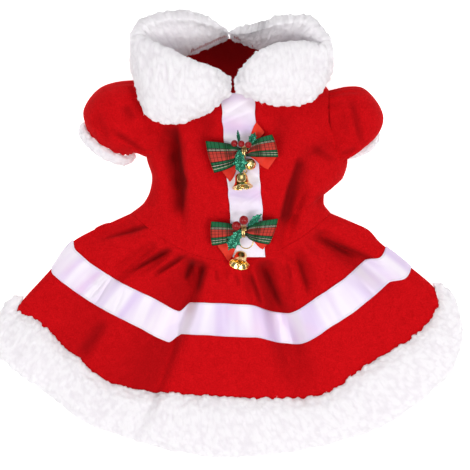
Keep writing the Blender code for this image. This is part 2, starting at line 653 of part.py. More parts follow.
def sleeve_frames(rows):
    """(centre, way, long axis, tall axis, half length, half height) of each ring of a sleeve."""
    frames = []
    for row in rows:
        centre = Vector((row.x * HALF_CHEST, WAIST_Y + SIDE_LENGTH * (1 - row.y), row.z * CHEST_RISE))
        way = Vector((row.turn_x, row.turn_y, row.turn_z)).normalized()
        long_axis = way.cross(Vector((0, 0, 1))).normalized()
        tall_axis = long_axis.cross(way)
        frames.append((centre, way, long_axis, tall_axis, row.long * SIDE_LENGTH, row.tall * CHEST_RISE))
    return frames


def sleeve_point(frames, share, angle, outset):
    """A point of a sleeve. share runs from 0 at the armhole to 1 at the mouth."""
    centre, long_axis, tall_axis = (
        curve_through([frame[i] for frame in frames], share) for i in (0, 2, 3)
    )
    sizes = [Vector((frame[4], frame[5], 0)) for frame in frames]
    size = curve_through(sizes, share)
    flat = abs(cos(angle)) ** 0.85 * (1 if cos(angle) > 0 else -1)
    return centre + long_axis * (size.x + outset) * flat + tall_axis * (size.y + outset) * sin(angle)


def build_sleeve(rows):
    """A fleece puff sleeve, open at the armhole and at its mouth."""
    frames = sleeve_frames(rows)
    sections = []
    for k in range(SLEEVE_SIDES):
        angle = 2 * pi * k / SLEEVE_SIDES
        outer = [sleeve_point(frames, share, angle, 0) for share in SLEEVE_SHARES]
        inner = [sleeve_point(frames, share, angle, -FLEECE) for share in reversed(SLEEVE_SHARES)]
        sections.append(outer + inner)
    return loft(sections, closed=True)


def build_armhole_cutter(rows):
    """The shape that the bodice leaves open for a sleeve: the sleeve's first rings, a little larger."""
    frames = sleeve_frames(rows)
    way = frames[0][1]
    sections = []
    for share, shift in ((0.0, -ARMHOLE_GAP), (0.2, 0.0), (0.42, 0.0), (0.42, 0.008)):
        ring = []
        for k in range(SLEEVE_SIDES):
            angle = 2 * pi * k / SLEEVE_SIDES
            ring.append(sleeve_point(frames, share, angle, ARMHOLE_GAP) + way * shift)
        sections.append(ring)
    return loft(sections, closed=False)


def build_cuff(rows):
    """The plush band sewn to a sleeve's mouth."""
    frames = sleeve_frames(rows)
    mouth_way = frames[-1][1]
    profile = (
        (0.00, 0.50),
        (0.25, 0.95),
        (0.75, 1.00),
        (1.00, 0.60),
        (1.00, 0.15),
        (0.70, 0.00),
        (0.25, 0.00),
        (0.00, 0.00),
    )
    sections = []
    for k in range(SLEEVE_SIDES):
        angle = 2 * pi * k / SLEEVE_SIDES
        section = []
        for along, thick in profile:
            point = sleeve_point(frames, 1.0, angle, thick * CUFF_PILE - CUFF_INSET)
            section.append(point + mouth_way * (SEAM_GAP + along * CUFF_LENGTH))
        sections.append(section)
    return loft(sections, closed=True)


def seat_height(x, y):
    """The height of the satin over x, y, on which the ornaments lie."""
    return bodice_height(x, y, PLACKET_GAP + SATIN + LAYER_GAP)


def lay_on_seat(sections, knot):
    """Moves sections from a bow's own flat frame onto the dress at its knot."""
    laid = []
    for section in sections:
        points = [Vector((point.x + knot[0], point.y + knot[1], point.z)) for point in section]
        laid.append([point + Vector((0, 0, seat_height(point.x, point.y))) for point in points])
    return laid


def build_bow_loop(row, knot):
    """One loop of a bow: ribbon that runs out from the knot, turns, and comes back above itself."""
    side = 1 if row.top_x > 0 else -1
    pinched = 0.134
    sections = []
    for turn_share in LOOP_TURNS:
        turn = pi * turn_share
        out = max(0.0, sin(turn)) ** 0.85 if 0 < turn_share < 1 else 0.0
        spread = max(0.0, (out - pinched) / (1 - pinched))
        faces = []
        for face in (0.5, -0.5):
            edge = []
            for across in (1.0, 0.33, -0.33, -1.0):
                far_x = mix(row.low_x, row.top_x, (across + 1) / 2) * BOW_REACH
                far_y = mix(row.low_y, row.top_y, (across + 1) / 2) * BOW_REACH
                bend = -cos(turn) * (LOOP_HALF_DEPTH * mix(0.24, 1.0, spread) + face * RIBBON_LOOP)
                tilt = across * row.lift * LOOP_HALF_DEPTH * spread * 0.4
                x = mix(0.0006 * side, far_x, out) + side * face * RIBBON_LOOP * sin(turn) ** 4
                y = mix(across * KNOT_HALF_WIDTH, far_y, spread**0.75)
                edge.append(Vector((x, y, KNOT_HEIGHT + bend + tilt)))
            faces.append(edge)
        sections.append(faces[0] + faces[1][::-1])
    return loft(lay_on_seat(sections, knot), closed=False)


def build_tail(row, knot):
    """A short ribbon tail that lies under the loops and widens to a slanted end."""
    tip = Vector((row.tip_x, row.tip_y, 0)) * BOW_REACH
    side = Vector((-tip.y, tip.x, 0)).normalized()
    sections = []
    steps = 4
    for k in range(steps + 1):
        share = k / steps
        half = mix(0.30, 1.0, smoothstep(0, 0.9, share)) * row.half_width * BOW_REACH
        lift = TAIL_ROOT_LIFT * (1 - smoothstep(0.1, 0.7, share))
        middle = tip * mix(0.22, 1.0, share) + Vector((0, 0, lift))
        low = [middle - side * half - tip * 0.12 * share, middle + side * half]
        high = [point + Vector((0, 0, TAIL_THICKNESS)) for point in reversed(low)]
        sections.append(low + high)
    return loft(lay_on_seat(sections, knot), closed=False)


def build_leaf(row, knot):
    """A holly leaf: a spiny outline with a raised middle rib."""
    way = Vector((cos(radians(row.bearing)), sin(radians(row.bearing)), 0))
    side = Vector((-way.y, way.x, 0))
    root = Vector((row.root_x * BOW_REACH, row.root_y * BOW_REACH, 0))
    sections = []
    for station in LEAF_STATIONS:
        half = station.half_width * LEAF_HALF_WIDTH * row.width
        level = LEAF_LEVEL * (row.level - row.droop * station.along)
        rib = root + way * station.along * LEAF_LENGTH * row.length + Vector((0, 0, level))
        edge = rib - Vector((0, 0, 0.16 * half))
        top = rib + Vector((0, 0, LEAF_THICKNESS))
        sections.append([edge + side * half, rib, edge - side * half, top])
    return loft(lay_on_seat(sections, knot), closed=False)


def build_ball(radius, sides, rings):
    """A round berry or ball about the origin."""
    bm = bmesh.new()
    bmesh.ops.create_uvsphere(bm, u_segments=sides, v_segments=rings, radius=radius)
    return bm


def turned(name, profile, sides, material, collection):
    """A profile in XZ turned about Z with a Screw modifier."""
    mesh = bpy.data.meshes.new(name)
    edges = [(k, k + 1) for k in range(len(profile) - 1)]
    mesh.from_pydata([(x, 0, z) for x, z in profile], edges, [])
    mesh.materials.append(material)
    made = bpy.data.objects.new(name, mesh)
    collection.objects.link(made)
    screw = made.modifiers.new("turn", "SCREW")
    screw.angle = 2 * pi
    screw.steps = sides
    screw.render_steps = sides
    screw.use_merge_vertices = True
    screw.merge_threshold = 0.00001
    screw.use_smooth_shade = True
    return made


def bell_profile():
    """A bell's outer side from the crown down to the rim, then its inner side back up to the axis."""
    outer = [(s.radius * BELL_RADIUS, s.height * BELL_HEIGHT) for s in reversed(BELL_STATIONS)]
    inner = [(outer[-1][0] - BELL_WALL, 0.0)]
    for station in BELL_STATIONS[1:]:
        radius = max(station.radius * BELL_RADIUS - BELL_WALL, 0.0004)
        inner.append((radius, station.height * BELL_HEIGHT - BELL_WALL))
    return [(0.0, BELL_HEIGHT)] + outer + inner + [(0.0, inner[-1][1])]


def clapper_profile():
    """A clapper's stem and ball, inside a bell whose rim is at height 0."""
    ball = 0.2 * BELL_RADIUS
    stem = 0.35 * ball
    stem_top = BELL_HEIGHT * BELL_STATIONS[-1].height - BELL_WALL - LAYER_GAP
    return [(0.0, stem_top), (stem, stem_top), (stem, 0.9 * ball), (ball, 0.0), (0.7 * ball, -0.8 * ball),
            (0.0, -ball)]


def wire(name, points, radius, cyclic, material, collection):
    """A round wire along points, as a curve with filled caps."""
    curve = bpy.data.curves.new(name, "CURVE")
    curve.dimensions = "3D"
    spline = curve.splines.new("POLY")
    spline.points.add(len(points) - 1)
    for spot, point in zip(spline.points, points):
        spot.co = (*point, 1)
    spline.use_cyclic_u = cyclic
    curve.bevel_depth = radius
    curve.bevel_resolution = 1
    curve.use_fill_caps = not cyclic
    curve.materials.append(material)
    made = bpy.data.objects.new(name, curve)
    collection.objects.link(made)
    return made


def ring_points(radius, sides):
    """Points round a circle in XY."""
    return [(radius * cos(2 * pi * k / sides), radius * sin(2 * pi * k / sides), 0) for k in range(sides)]


def tie_points():
    """The turns of the wire that binds a bow's middle, round the ribbon's pinch."""
    turns, per_turn = 2.5, 8
    points = []
    for k in range(int(turns * per_turn) + 1):
        angle = 2 * pi * k / per_turn - pi / 2
        y = TIE_HALF_WIDTH * abs(cos(angle)) ** 0.8 * (1 if cos(angle) > 0 else -1)
        z = TIE_HALF_HEIGHT * abs(sin(angle)) ** 0.8 * (1 if sin(angle) > 0 else -1)
        points.append(((k / per_turn - turns / 2) * TIE_PITCH, y, z))
    return points


def place_bell(prefix, rim, mouth_bearing, sink, finish, collection):
    """A hollow bell lying on its side with its clapper. rim is its rim's middle, in plan."""
    bearing, tilt = radians(mouth_bearing), radians(BELL_TILT)
    mouth = Vector((cos(bearing) * cos(tilt), sin(bearing) * cos(tilt), sin(tilt)))
    turn = Vector((0, 0, 1)).rotation_difference(-mouth).to_euler()
    height = seat_height(*rim) + BELL_RADIUS * cos(tilt) - sink
    profiles = (("_bell", bell_profile(), TURNED_SIDES), ("_clapper", clapper_profile(), 8))
    for suffix, profile, sides in profiles:
        piece = turned(prefix + suffix, profile, sides, finish["gold"], collection)
        piece.rotation_euler = turn
        piece.location = (*rim, height)


def build_ornament(prefix, knot, loops, tails, leaves, berries, berry_radius, finish, collection):
    """A bow of two plaid loops with tails, holly, berries and the wire that binds it."""
    for row in loops:
        add_object(row.name, build_bow_loop(row, knot), finish["plaid"], collection)
    for row in tails:
        add_object(row.name, build_tail(row, knot), finish["red_ribbon"], collection)
    for row in leaves:
        add_object(row.name, build_leaf(row, knot), finish["holly"], collection)
    for row in berries:
        ball = add_object(row.name, build_ball(berry_radius, 9, 6), finish["berry"], collection)
        x, y = knot[0] + row.x * BOW_REACH, knot[1] + row.y * BOW_REACH
        ball.location = (x, y, seat_height(x, y) + row.level * LEAF_LEVEL)
    tie = wire(prefix + "_tie", tie_points(), TIE_WIRE, False, finish["gold"], collection)
    tie.location = (*knot, seat_height(*knot) + KNOT_HEIGHT)


def build_gold(finish, collection):
    """The bells, the rings they hang from and the hammered ball."""
    ball = add_object("upper_gold_ball", build_ball(JINGLE_RADIUS, 12, 8), finish["gold"], collection)
    x, y = UPPER_KNOT[0] + 0.0047, UPPER_KNOT[1] - 0.0093
    ball.location = (x, y, seat_height(x, y) + JINGLE_RADIUS)
    link = wire("upper_ring", ring_points(LINK_RADIUS, 8), RING_WIRE, True, finish["gold"], collection)
    x, y = UPPER_KNOT[0] + 0.0008, UPPER_KNOT[1] - 0.0144
    link.location = (x, y, seat_height(x, y) + 0.0050)
    link.rotation_euler = (radians(35), 0, 0)
    ring = wire("lower_ring", ring_points(RING_RADIUS, 16), RING_WIRE, True, finish["gold"], collection)
    x, y = LOWER_KNOT[0] + 0.0020, LOWER_KNOT[1] - 0.0079
    slope = (seat_height(x, y + RING_RADIUS) - seat_height(x, y - RING_RADIUS)) / (2 * RING_RADIUS)
    ring.location = (x, y, seat_height(x, y) + 1.3 * RING_WIRE)
    ring.rotation_euler = (atan(slope), 0, 0)
    place_bell("upper", (UPPER_KNOT[0] - 0.0011, UPPER_KNOT[1] - 0.0267), -84.0, 0.0, finish, collection)
    place_bell("lower", (LOWER_KNOT[0] - 0.0035, LOWER_KNOT[1] - 0.0253), -102.0, BELL_SINK, finish, collection)


def main():
    """Builds every piece of the dress."""
    clear_scene()
    collection = bpy.data.collections.new("dog_dress")
    bpy.context.scene.collection.children.link(collection)
    cutters = bpy.data.collections.new("cutters")
    bpy.context.scene.collection.children.link(cutters)
    finish = {
        "fleece": make_material("red_fleece", (0.56, 0.004, 0.006), 0.95),
        "plush": make_material("white_plush", (0.90, 0.88, 0.90), 1.0),
        "satin": make_material("white_satin", (0.86, 0.80, 0.88), 0.35),
        "plaid": make_material("plaid_ribbon", (0.25, 0.10, 0.06), 0.6),
        "red_ribbon": make_material("red_ribbon", (0.70, 0.03, 0.02), 0.5),
        "holly": make_material("glitter_holly", (0.01, 0.22, 0.10), 0.4, 0.3),
        "berry": make_material("berry_red", (0.45, 0.005, 0.01), 0.1),
        "gold": make_material("bell_gold", (0.80, 0.55, 0.15), 0.2, 1.0),
    }
    panels = []
    for name, front, bodice_steps, skirt_steps in (
        ("front", True, BODICE_FRONT_STEPS, SKIRT_FRONT_STEPS),
        ("back", False, BODICE_BACK_STEPS, SKIRT_BACK_STEPS),
    ):
        bodice = build_panel(bodice_point, bodice_levels, bodice_steps, BODICE_EVENNESS, front)
        panels.append(add_object("bodice_" + name, bodice, finish["fleece"], collection))
        skirt = build_panel(skirt_point, rib_levels, skirt_steps, SKIRT_EVENNESS, front)
        add_object("skirt_" + name, skirt, finish["fleece"], collection)
    for side, rows in (("left", SLEEVE_LEFT), ("right", SLEEVE_RIGHT)):
        add_object("sleeve_" + side, build_sleeve(rows), finish["fleece"], collection)
        add_object("cuff_" + side, build_cuff(rows), finish["plush"], collection)
        cutter = add_object("armhole_" + side, build_armhole_cutter(rows), finish["fleece"], cutters)
        cutter.hide_render = True
        cutter.display_type = "WIRE"
        for panel in panels:
            cut = panel.modifiers.new("armhole_" + side, "BOOLEAN")
            cut.operation = "DIFFERENCE"
            cut.object = cutter
    add_object("stripe_ribbon", build_stripe(), finish["satin"], collection)
    add_object("hem_trim", build_hem_trim(), finish["plush"], collection)
    add_object("placket_ribbon", build_placket(), finish["satin"], collection)
    add_object("collar_left", build_collar(COLLAR_LEFT), finish["plush"], collection)
    add_object("collar_right", build_collar(COLLAR_RIGHT), finish["plush"], collection)
    build_ornament(
        "upper",
        UPPER_KNOT,
        UPPER_LOOPS,
        UPPER_TAILS,
        UPPER_LEAVES,
        UPPER_BERRIES,
        UPPER_BERRY_RADIUS,
        finish,
        collection,
    )
    build_ornament(
        "lower",
        LOWER_KNOT,
        LOWER_LOOPS,
        LOWER_TAILS,
        LOWER_LEAVES,
        LOWER_BERRIES,
        LOWER_BERRY_RADIUS,
        finish,
        collection,
    )
    build_gold(finish, collection)


main()
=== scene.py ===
"""Looks of a dog dress: fleece bodice, puff sleeves and gathered skirt, with plush, satin and two bows.

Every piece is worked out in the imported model's frame, in metres: the dress lies in XY with its neck towards
+Y and its decorated side up. Places in the tables are shares of the named sizes of the class that uses them.
"""

from __future__ import annotations

import logging
from dataclasses import dataclass
from enum import Enum
from math import cos, pi, radians, sin
from typing import Any, Callable, NamedTuple, Sequence

import bmesh
import bpy
import numpy as np
from mathutils import Matrix, Vector, noise
from mathutils.bvhtree import BVHTree


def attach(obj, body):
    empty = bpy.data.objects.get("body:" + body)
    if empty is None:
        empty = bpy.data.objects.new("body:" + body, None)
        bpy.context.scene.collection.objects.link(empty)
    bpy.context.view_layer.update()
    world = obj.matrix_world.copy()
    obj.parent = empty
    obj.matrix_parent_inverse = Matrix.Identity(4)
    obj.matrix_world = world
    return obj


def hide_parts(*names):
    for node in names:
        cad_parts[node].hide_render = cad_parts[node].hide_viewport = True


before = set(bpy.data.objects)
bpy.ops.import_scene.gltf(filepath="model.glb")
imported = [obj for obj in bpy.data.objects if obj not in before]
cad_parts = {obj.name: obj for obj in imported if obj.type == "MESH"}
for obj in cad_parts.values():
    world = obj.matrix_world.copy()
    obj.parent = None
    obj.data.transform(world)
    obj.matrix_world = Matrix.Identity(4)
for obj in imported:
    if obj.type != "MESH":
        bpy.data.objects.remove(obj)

Array = np.ndarray
Colour = tuple[float, float, float]
Socket = bpy.types.NodeSocket
FLOOR_CLEARANCE = 0.0003
LOG = logging.getLogger("dog_dress")


class Slot(Enum):
    """The record's material slots."""

    FLEECE = "red_fleece"
    PLUSH = "white_plush"
    SATIN = "white_satin"
    PLAID = "plaid_ribbon"
    RED_RIBBON = "red_ribbon"
    HOLLY = "glitter_holly"
    BERRY = "berry_red"
    GOLD = "bell_gold"


def smoothstep(low: Any, high: Any, value: Any) -> Array:
    """Rises smoothly from 0 at low to 1 at high.

    Args:
        low: Where the rise starts.
        high: Where it ends.
        value: The place or places to read.

    Returns:
        A share from 0 to 1 for each place.
    """
    share = np.clip((np.asarray(value, float) - low) / (high - low), 0.0, 1.0)
    return share * share * (3 - 2 * share)


def mix(first: Any, second: Any, share: Any) -> Any:
    """The value that lies share of the way from first to second."""
    return first + (second - first) * share


def fullness(across: Array, power: float) -> Array:
    """How far a flattened tube has risen from its side edge: 0 at the edge, 1 in the middle."""
    return np.sqrt(np.maximum(0.0, 1 - np.abs(across) ** power))


def rounded(share: Array, start: float) -> Array:
    """1 along the middle of a way, falling in a quarter circle to 0 at its two ends, from start outwards."""
    return np.sqrt(np.clip(1 - (np.maximum(np.abs(2 * share - 1) - start, 0) / (1 - start)) ** 2, 0, 1))


def drift(points: Array, size: float, seed: int) -> Array:
    """Smooth noise from about -1 to 1.

    Args:
        points: Places, in rows.
        size: The width of one swell, in metres.
        seed: Chooses the pattern.

    Returns:
        One number for each place.
    """
    places = points / size + 7.31 * seed
    return np.array([noise.noise(place) for place in places.tolist()])


def stack(x: Any, y: Any, z: Any) -> Array:
    """Points in rows, from their coordinates."""
    return np.stack(np.broadcast_arrays(x, y, z), axis=-1).astype(float)


def ripple(along: Array, seed: int) -> Array:
    """Smooth noise from about -1 to 1 along a line."""
    return drift(stack(along, 0.0, 0.0), 1.0, seed)


def unit(ways: Array) -> Array:
    """Directions in rows, each of length 1."""
    return ways / np.linalg.norm(ways, axis=1, keepdims=True)


def hermite(t: Array, first: Array, second: Array, leaving: Array, arriving: Array) -> Array:
    """A smooth way between two points.

    Args:
        t: The share of the way.
        first: The first point.
        second: The second point.
        leaving: The slope at the first point, over the whole way.
        arriving: The slope at the second.

    Returns:
        The points between them.
    """
    bend = (1 + 2 * t) * (1 - t) ** 2 * first + t * t * (3 - 2 * t) * second
    return bend + t * (1 - t) ** 2 * leaving - t * t * (1 - t) * arriving


def table(kind: Callable[..., Any], rows: Sequence[Sequence[Any]]) -> tuple:
    """A table's rows, each given as its plain values."""
    return tuple(kind(*row) for row in rows)


class Column:
    """One column of a table, read anywhere between its rows on a smooth curve that doesn't overshoot."""

    def __init__(self, rows: Sequence[Any], column: str, key: str = "along") -> None:
        """Works out the curve's slopes.

        Args:
            rows: The table.
            column: The column to read.
            key: The column that says where each row lies.
        """
        self.at = np.array([getattr(row, key) for row in rows], float)
        self.values = np.array([getattr(row, column) for row in rows], float)
        slopes = np.diff(self.values) / np.diff(self.at)
        before = np.concatenate([slopes[:1], slopes])
        after = np.concatenate([slopes, slopes[-1:]])
        total = np.where(before * after > 0, before + after, 1.0)
        self.tangents = np.where(before * after > 0, 2 * before * after / total, 0.0)

    def __call__(self, where: Any) -> Array:
        """Reads the column.

        Args:
            where: The place or places along the key column.

        Returns:
            The column's value at each place.
        """
        where = np.clip(where, self.at[0], self.at[-1])
        k = np.clip(np.searchsorted(self.at, where, side="right") - 1, 0, len(self.at) - 2)
        span = self.at[k + 1] - self.at[k]
        ends = (self.values[k], self.values[k + 1], self.tangents[k] * span, self.tangents[k + 1] * span)
        return hermite((where - self.at[k]) / span, *ends)


def curve(read: Callable[[Array], Array], spans: int, share: Array) -> Array:
    """Points on the smooth curve through a few evenly spaced points.

    Args:
        read: Gives the points passed through from their numbers.
        spans: How many spans lie between them.
        share: How far along the curve, from 0 to 1, as one number or a row of them.

    Returns:
        One point for each share.
    """
    k = np.minimum((share * spans).astype(int), spans - 1)
    first, second = read(k), read(k + 1)
    t = (share * spans - k).reshape(share.shape + (1,) * (first.ndim - share.ndim))
    leaving = (second - read(np.maximum(k - 1, 0))) / 2
    arriving = (read(np.minimum(k + 2, spans)) - first) / 2
    return hermite(t, first, second, leaving, arriving)


def curve_through(points: Array, share: Array) -> Array:
    """Points on the curve through evenly spaced points, which are on the first axis."""
    points = np.asarray(points, float)
    return curve(lambda k: points[k], len(points) - 1, np.asarray(share, float))


class Crease(NamedTuple):
    """A fold pressed into the front, as its two ends in millimetres in plan and its cut."""

    x: float
    y: float
    to_x: float
    to_y: float
    left_width: float
    right_width: float
    depth: float


def pressed(creases: Sequence[Crease], x: Array, y: Array) -> Array:
    """How far a set of creases presses a cloth down.

    Args:
        creases: The creases, whose left side is on the left of the way from the first end to the second.
        x: The places' x.
        y: The places' y.

    Returns:
        A depth in metres for each place.
    """
    depth = np.zeros(np.shape(x))
    for crease in creases:
        way = np.array((crease.to_x - crease.x, crease.to_y - crease.y)) / 1000
        length = np.hypot(*way)
        way = way / length
        off_x, off_y = x - crease.x / 1000, y - crease.y / 1000
        along = (off_x * way[0] + off_y * way[1]) / length
        side = off_y * way[0] - off_x * way[1]
        width = np.where(side > 0, crease.left_width, crease.right_width) / 1000
        ends = smoothstep(-0.22, 0.25, along) * (1 - smoothstep(0.70, 1.22, along))
        depth += crease.depth / 1000 * ends * np.exp(-((side / width) ** 2))
    return depth


class Dent(NamedTuple):
    """A dent along a tube: where its two ends lie across, its shares along, its widths and its depth."""

    first: float
    last: float
    starts: float
    ends: float
    left_width: float
    right_width: float
    depth: float


def dented(dents: Sequence[Dent], across: Array, along: Array) -> Array:
    """How deep a set of dents is, each fading in and out smoothly inside its ends.

    Args:
        dents: The dents.
        across: The places across, in the unit of the dents' widths.
        along: The places' shares of the way along the tube.

    Returns:
        A depth for each place, as a share of the tube's rise.
    """
    depth = np.zeros(np.shape(along))
    for dent in dents:
        share = (along - dent.starts) / (dent.ends - dent.starts)
        off = across - mix(dent.first, dent.last, share)
        width = np.where(off < 0, dent.left_width, dent.right_width)
        level = smoothstep(dent.starts, dent.starts + 0.12, along) * (1 - smoothstep(0.45, 1.0, share))
        depth = depth + dent.depth * level * np.exp(-((off / width) ** 2))
    return depth


class Wiring:
    """Adds nodes to a material or group and joins them."""

    def __init__(self, tree: bpy.types.NodeTree) -> None:
        """Keeps the tree that the nodes go into."""
        self.tree = tree

    def add(self, kind: str, settings: dict[str, Any] | None = None, **inputs: Any) -> bpy.types.Node:
        """Adds one shader node.

        Args:
            kind: The node's type, without its ShaderNode prefix.
            settings: Properties of the node.
            inputs: Values or sockets for its inputs, with _ for a space in a name.

        Returns:
            The new node.
        """
        node = self.tree.nodes.new("ShaderNode" + kind)
        for name, value in (settings or {}).items():
            setattr(node, name, value)
        for name, value in inputs.items():
            self.feed(node.inputs[name.replace("_", " ")], value)
        return node

    def feed(self, socket: Socket, value: Any) -> None:
        """Gives an input a constant, or joins it to another socket."""
        if isinstance(value, Socket):
            self.tree.links.new(value, socket)
        else:
            socket.default_value = value

    def math(self, operation: str, *values: Any) -> Socket:
        """Adds a Math node.

        Args:
            operation: The node's operation.
            values: Its one to three inputs.

        Returns:
            Its output.
        """
        node = self.add("Math", {"operation": operation})
        for socket, value in zip(node.inputs, values):
            self.feed(socket, value)
        return node.outputs[0]

    def blend(self, factor: Any, first: Any, second: Any, how: str = "MIX") -> Socket:
        """Adds a colour Mix node.

        Args:
            factor: How much of the second colour shows.
            first: The first colour.
            second: The second colour.
            how: The node's blend type.

        Returns:
            The mixed colour.
        """
        node = self.add("Mix", {"data_type": "RGBA", "blend_type": how})
        self.feed(node.inputs[0], factor)
        for socket, colour in zip(node.inputs[6:8], (first, second)):
            self.feed(socket, colour if isinstance(colour, Socket) else (*colour, 1.0))
        return node.outputs[2]

    def rescale(self, value: Socket, low: float, high: float, to: Sequence[float] = (0.0, 1.0)) -> Socket:
        """Adds a Map Range node.

        Args:
            value: What it reads.
            low: The value that becomes the first of to.
            high: The value that becomes the second.
            to: The range put out.

        Returns:
            The new value.
        """
        ends = {"From_Min": low, "From_Max": high, "To_Min": to[0], "To_Max": to[1]}
        return self.add("MapRange", None, Value=value, **ends).outputs[0]

    def cloud(
        self, place: Socket, scale: Any, detail: float = 2, rough: float = 0.5, bent: float = 0
    ) -> Socket:
        """Adds a Noise texture.

        Args:
            place: Where it is read.
            scale: Its scale.
            detail: Its detail.
            rough: Its roughness.
            bent: Its distortion.

        Returns:
            Its strength.
        """
        shape = {"Scale": scale, "Detail": detail, "Roughness": rough, "Distortion": bent}
        return self.add("TexNoise", None, Vector=place, **shape).outputs["Fac"]

    def ramp(self, factor: Any, stops: Sequence[tuple], constant: bool = False) -> Socket:
        """Adds a Color Ramp.

        Args:
            factor: The place on the ramp.
            stops: Pairs of a place and a linear colour.
            constant: Whether colours change at the stops in steps.

        Returns:
            The ramp's colour.
        """
        node = self.add("ValToRGB", None, Fac=factor)
        bar = node.color_ramp
        bar.interpolation = "CONSTANT" if constant else "LINEAR"
        while len(bar.elements) < len(stops):
            bar.elements.new(0.5)
        for element, (place, colour) in zip(bar.elements, stops):
            element.position = place
            element.color = (*colour, 1.0)
        return node.outputs[0]

    def bump(self, height: Any, strength: float, distance: float, normal: Any = None) -> Socket:
        """Adds a Bump node.

        Args:
            height: The height socket.
            strength: How strongly it shows.
            distance: The depth of a full height, in metres.
            normal: The normal of a bump below it.

        Returns:
            The bent normal.
        """
        node = self.add("Bump", None, Strength=strength, Distance=distance, Height=height)
        if normal is not None:
            self.feed(node.inputs["Normal"], normal)
        return node.outputs[0]


class Effects:
    """The surface effects that several finishes share, as shader node groups."""

    def __init__(self) -> None:
        """Builds the groups."""
        self.nap = self.group("brushed_nap", {"Fibre": 0.0006, "Clump": 0.004}, self.build_nap)
        self.weave = self.group("woven_threads", {"Thread": 0.0004}, self.build_weave)

    def group(self, name: str, sizes: dict[str, float], build: Callable[..., dict]) -> bpy.types.NodeTree:
        """Makes a group that reads a place and some sizes.

        Args:
            name: The group's name.
            sizes: The starting value of each size.
            build: Adds its nodes, and gives the socket for each output.

        Returns:
            The group.
        """
        group = bpy.data.node_groups.new(name, "ShaderNodeTree")
        group.interface.new_socket("Place", in_out="INPUT", socket_type="NodeSocketVector")
        for label, value in sizes.items():
            size = group.interface.new_socket(label, in_out="INPUT", socket_type="NodeSocketFloat")
            size.default_value = value
        wire = Wiring(group)
        results = build(wire, group.nodes.new("NodeGroupInput").outputs)
        sink = group.nodes.new("NodeGroupOutput")
        for label, result in results.items():
            group.interface.new_socket(label, in_out="OUTPUT", socket_type="NodeSocketFloat")
            wire.feed(sink.inputs[label], result)
        return group

    def build_nap(self, wire: Wiring, given: Any) -> dict[str, Socket]:
        """The short tangled nap of brushed cloth.

        Args:
            wire: The group's wiring.
            given: The group's inputs.

        Returns:
            A mottled shade and the nap's height.
        """
        fine = wire.cloud(given["Place"], wire.math("DIVIDE", 1.0, given["Fibre"]), 3.0, 0.7)
        clump = wire.cloud(given["Place"], wire.math("DIVIDE", 1.0, given["Clump"]), 4.0, 0.65, 0.8)
        shade = wire.math("MULTIPLY_ADD", fine, 0.68, wire.math("MULTIPLY", clump, 0.32))
        height = wire.math("MULTIPLY_ADD", fine, 0.6, wire.math("MULTIPLY", clump, 0.7))
        return {"Shade": shade, "Height": height}

    def build_weave(self, wire: Wiring, given: Any) -> dict[str, Socket]:
        """A fine over and under weave on the cloth's own UV map, which is in metres.

        Args:
            wire: The group's wiring.
            given: The group's inputs.

        Returns:
            The threads' height and which way they run on top.
        """
        axes = wire.add("SeparateXYZ", None, Vector=given["Place"])
        turns = wire.math("DIVIDE", pi, given["Thread"])
        warp, weft = (wire.math("SINE", wire.math("MULTIPLY", axes.outputs[k], turns)) for k in "XY")
        crossing = wire.math("MULTIPLY", warp, weft)
        over = wire.math("GREATER_THAN", crossing, 0.0)
        return {"Height": wire.math("ABSOLUTE", crossing), "Over": over}


class Look(NamedTuple):
    """A material and the record's slot that it goes by."""

    material: bpy.types.Material
    slot: Slot


class Paint(Wiring):
    """A Principled material in the making."""

    def __init__(self, name: str, effects: Effects | None = None) -> None:
        """Starts a material that may use the shared effects."""
        self.material = bpy.data.materials.new(name)
        self.material.use_nodes = True
        super().__init__(self.material.node_tree)
        self.effects = effects
        self.shader = self.tree.nodes["Principled BSDF"]

    def coat(self, **inputs: Any) -> None:
        """Gives the shader's own inputs their values or sockets, with _ for a space in a name."""
        for label, value in inputs.items():
            self.feed(self.shader.inputs[label.replace("_", " ")], value)

    def place(self) -> Socket:
        """The piece's own coordinates."""
        return self.add("TexCoord").outputs["Object"]

    def cloth(self) -> Socket:
        """The cloth's UV map, in metres."""
        return self.add("UVMap", {"uv_map": "cloth"}).outputs["UV"]

    def stored(self, name: str, factor: float) -> Socket:
        """A number stored on the piece's points, times a factor."""
        return self.math("MULTIPLY", self.add("Attribute", {"attribute_name": name}).outputs["Fac"], factor)

    def nap(self, fibre: float, clump: float) -> Any:
        """The outputs of the nap, for the sizes of its fibres and clumps."""
        sizes = {"Fibre": fibre, "Clump": clump}
        return self.add("Group", {"node_tree": self.effects.nap}, Place=self.place(), **sizes).outputs

    def weave(self, cloth: Socket, thread: float) -> Any:
        """The outputs of the weave, for a thread's width."""
        return self.add("Group", {"node_tree": self.effects.weave}, Place=cloth, Thread=thread).outputs


class Finish:
    """A finish of the dress, which each kind paints in its own way."""

    name: str
    slot: Slot

    def make(self, effects: Effects) -> Look:
        """Builds the material.

        Args:
            effects: The shared node groups.

        Returns:
            The material with its slot.
        """
        paint = Paint(self.name, effects)
        self.apply(paint)
        return Look(paint.material, self.slot)


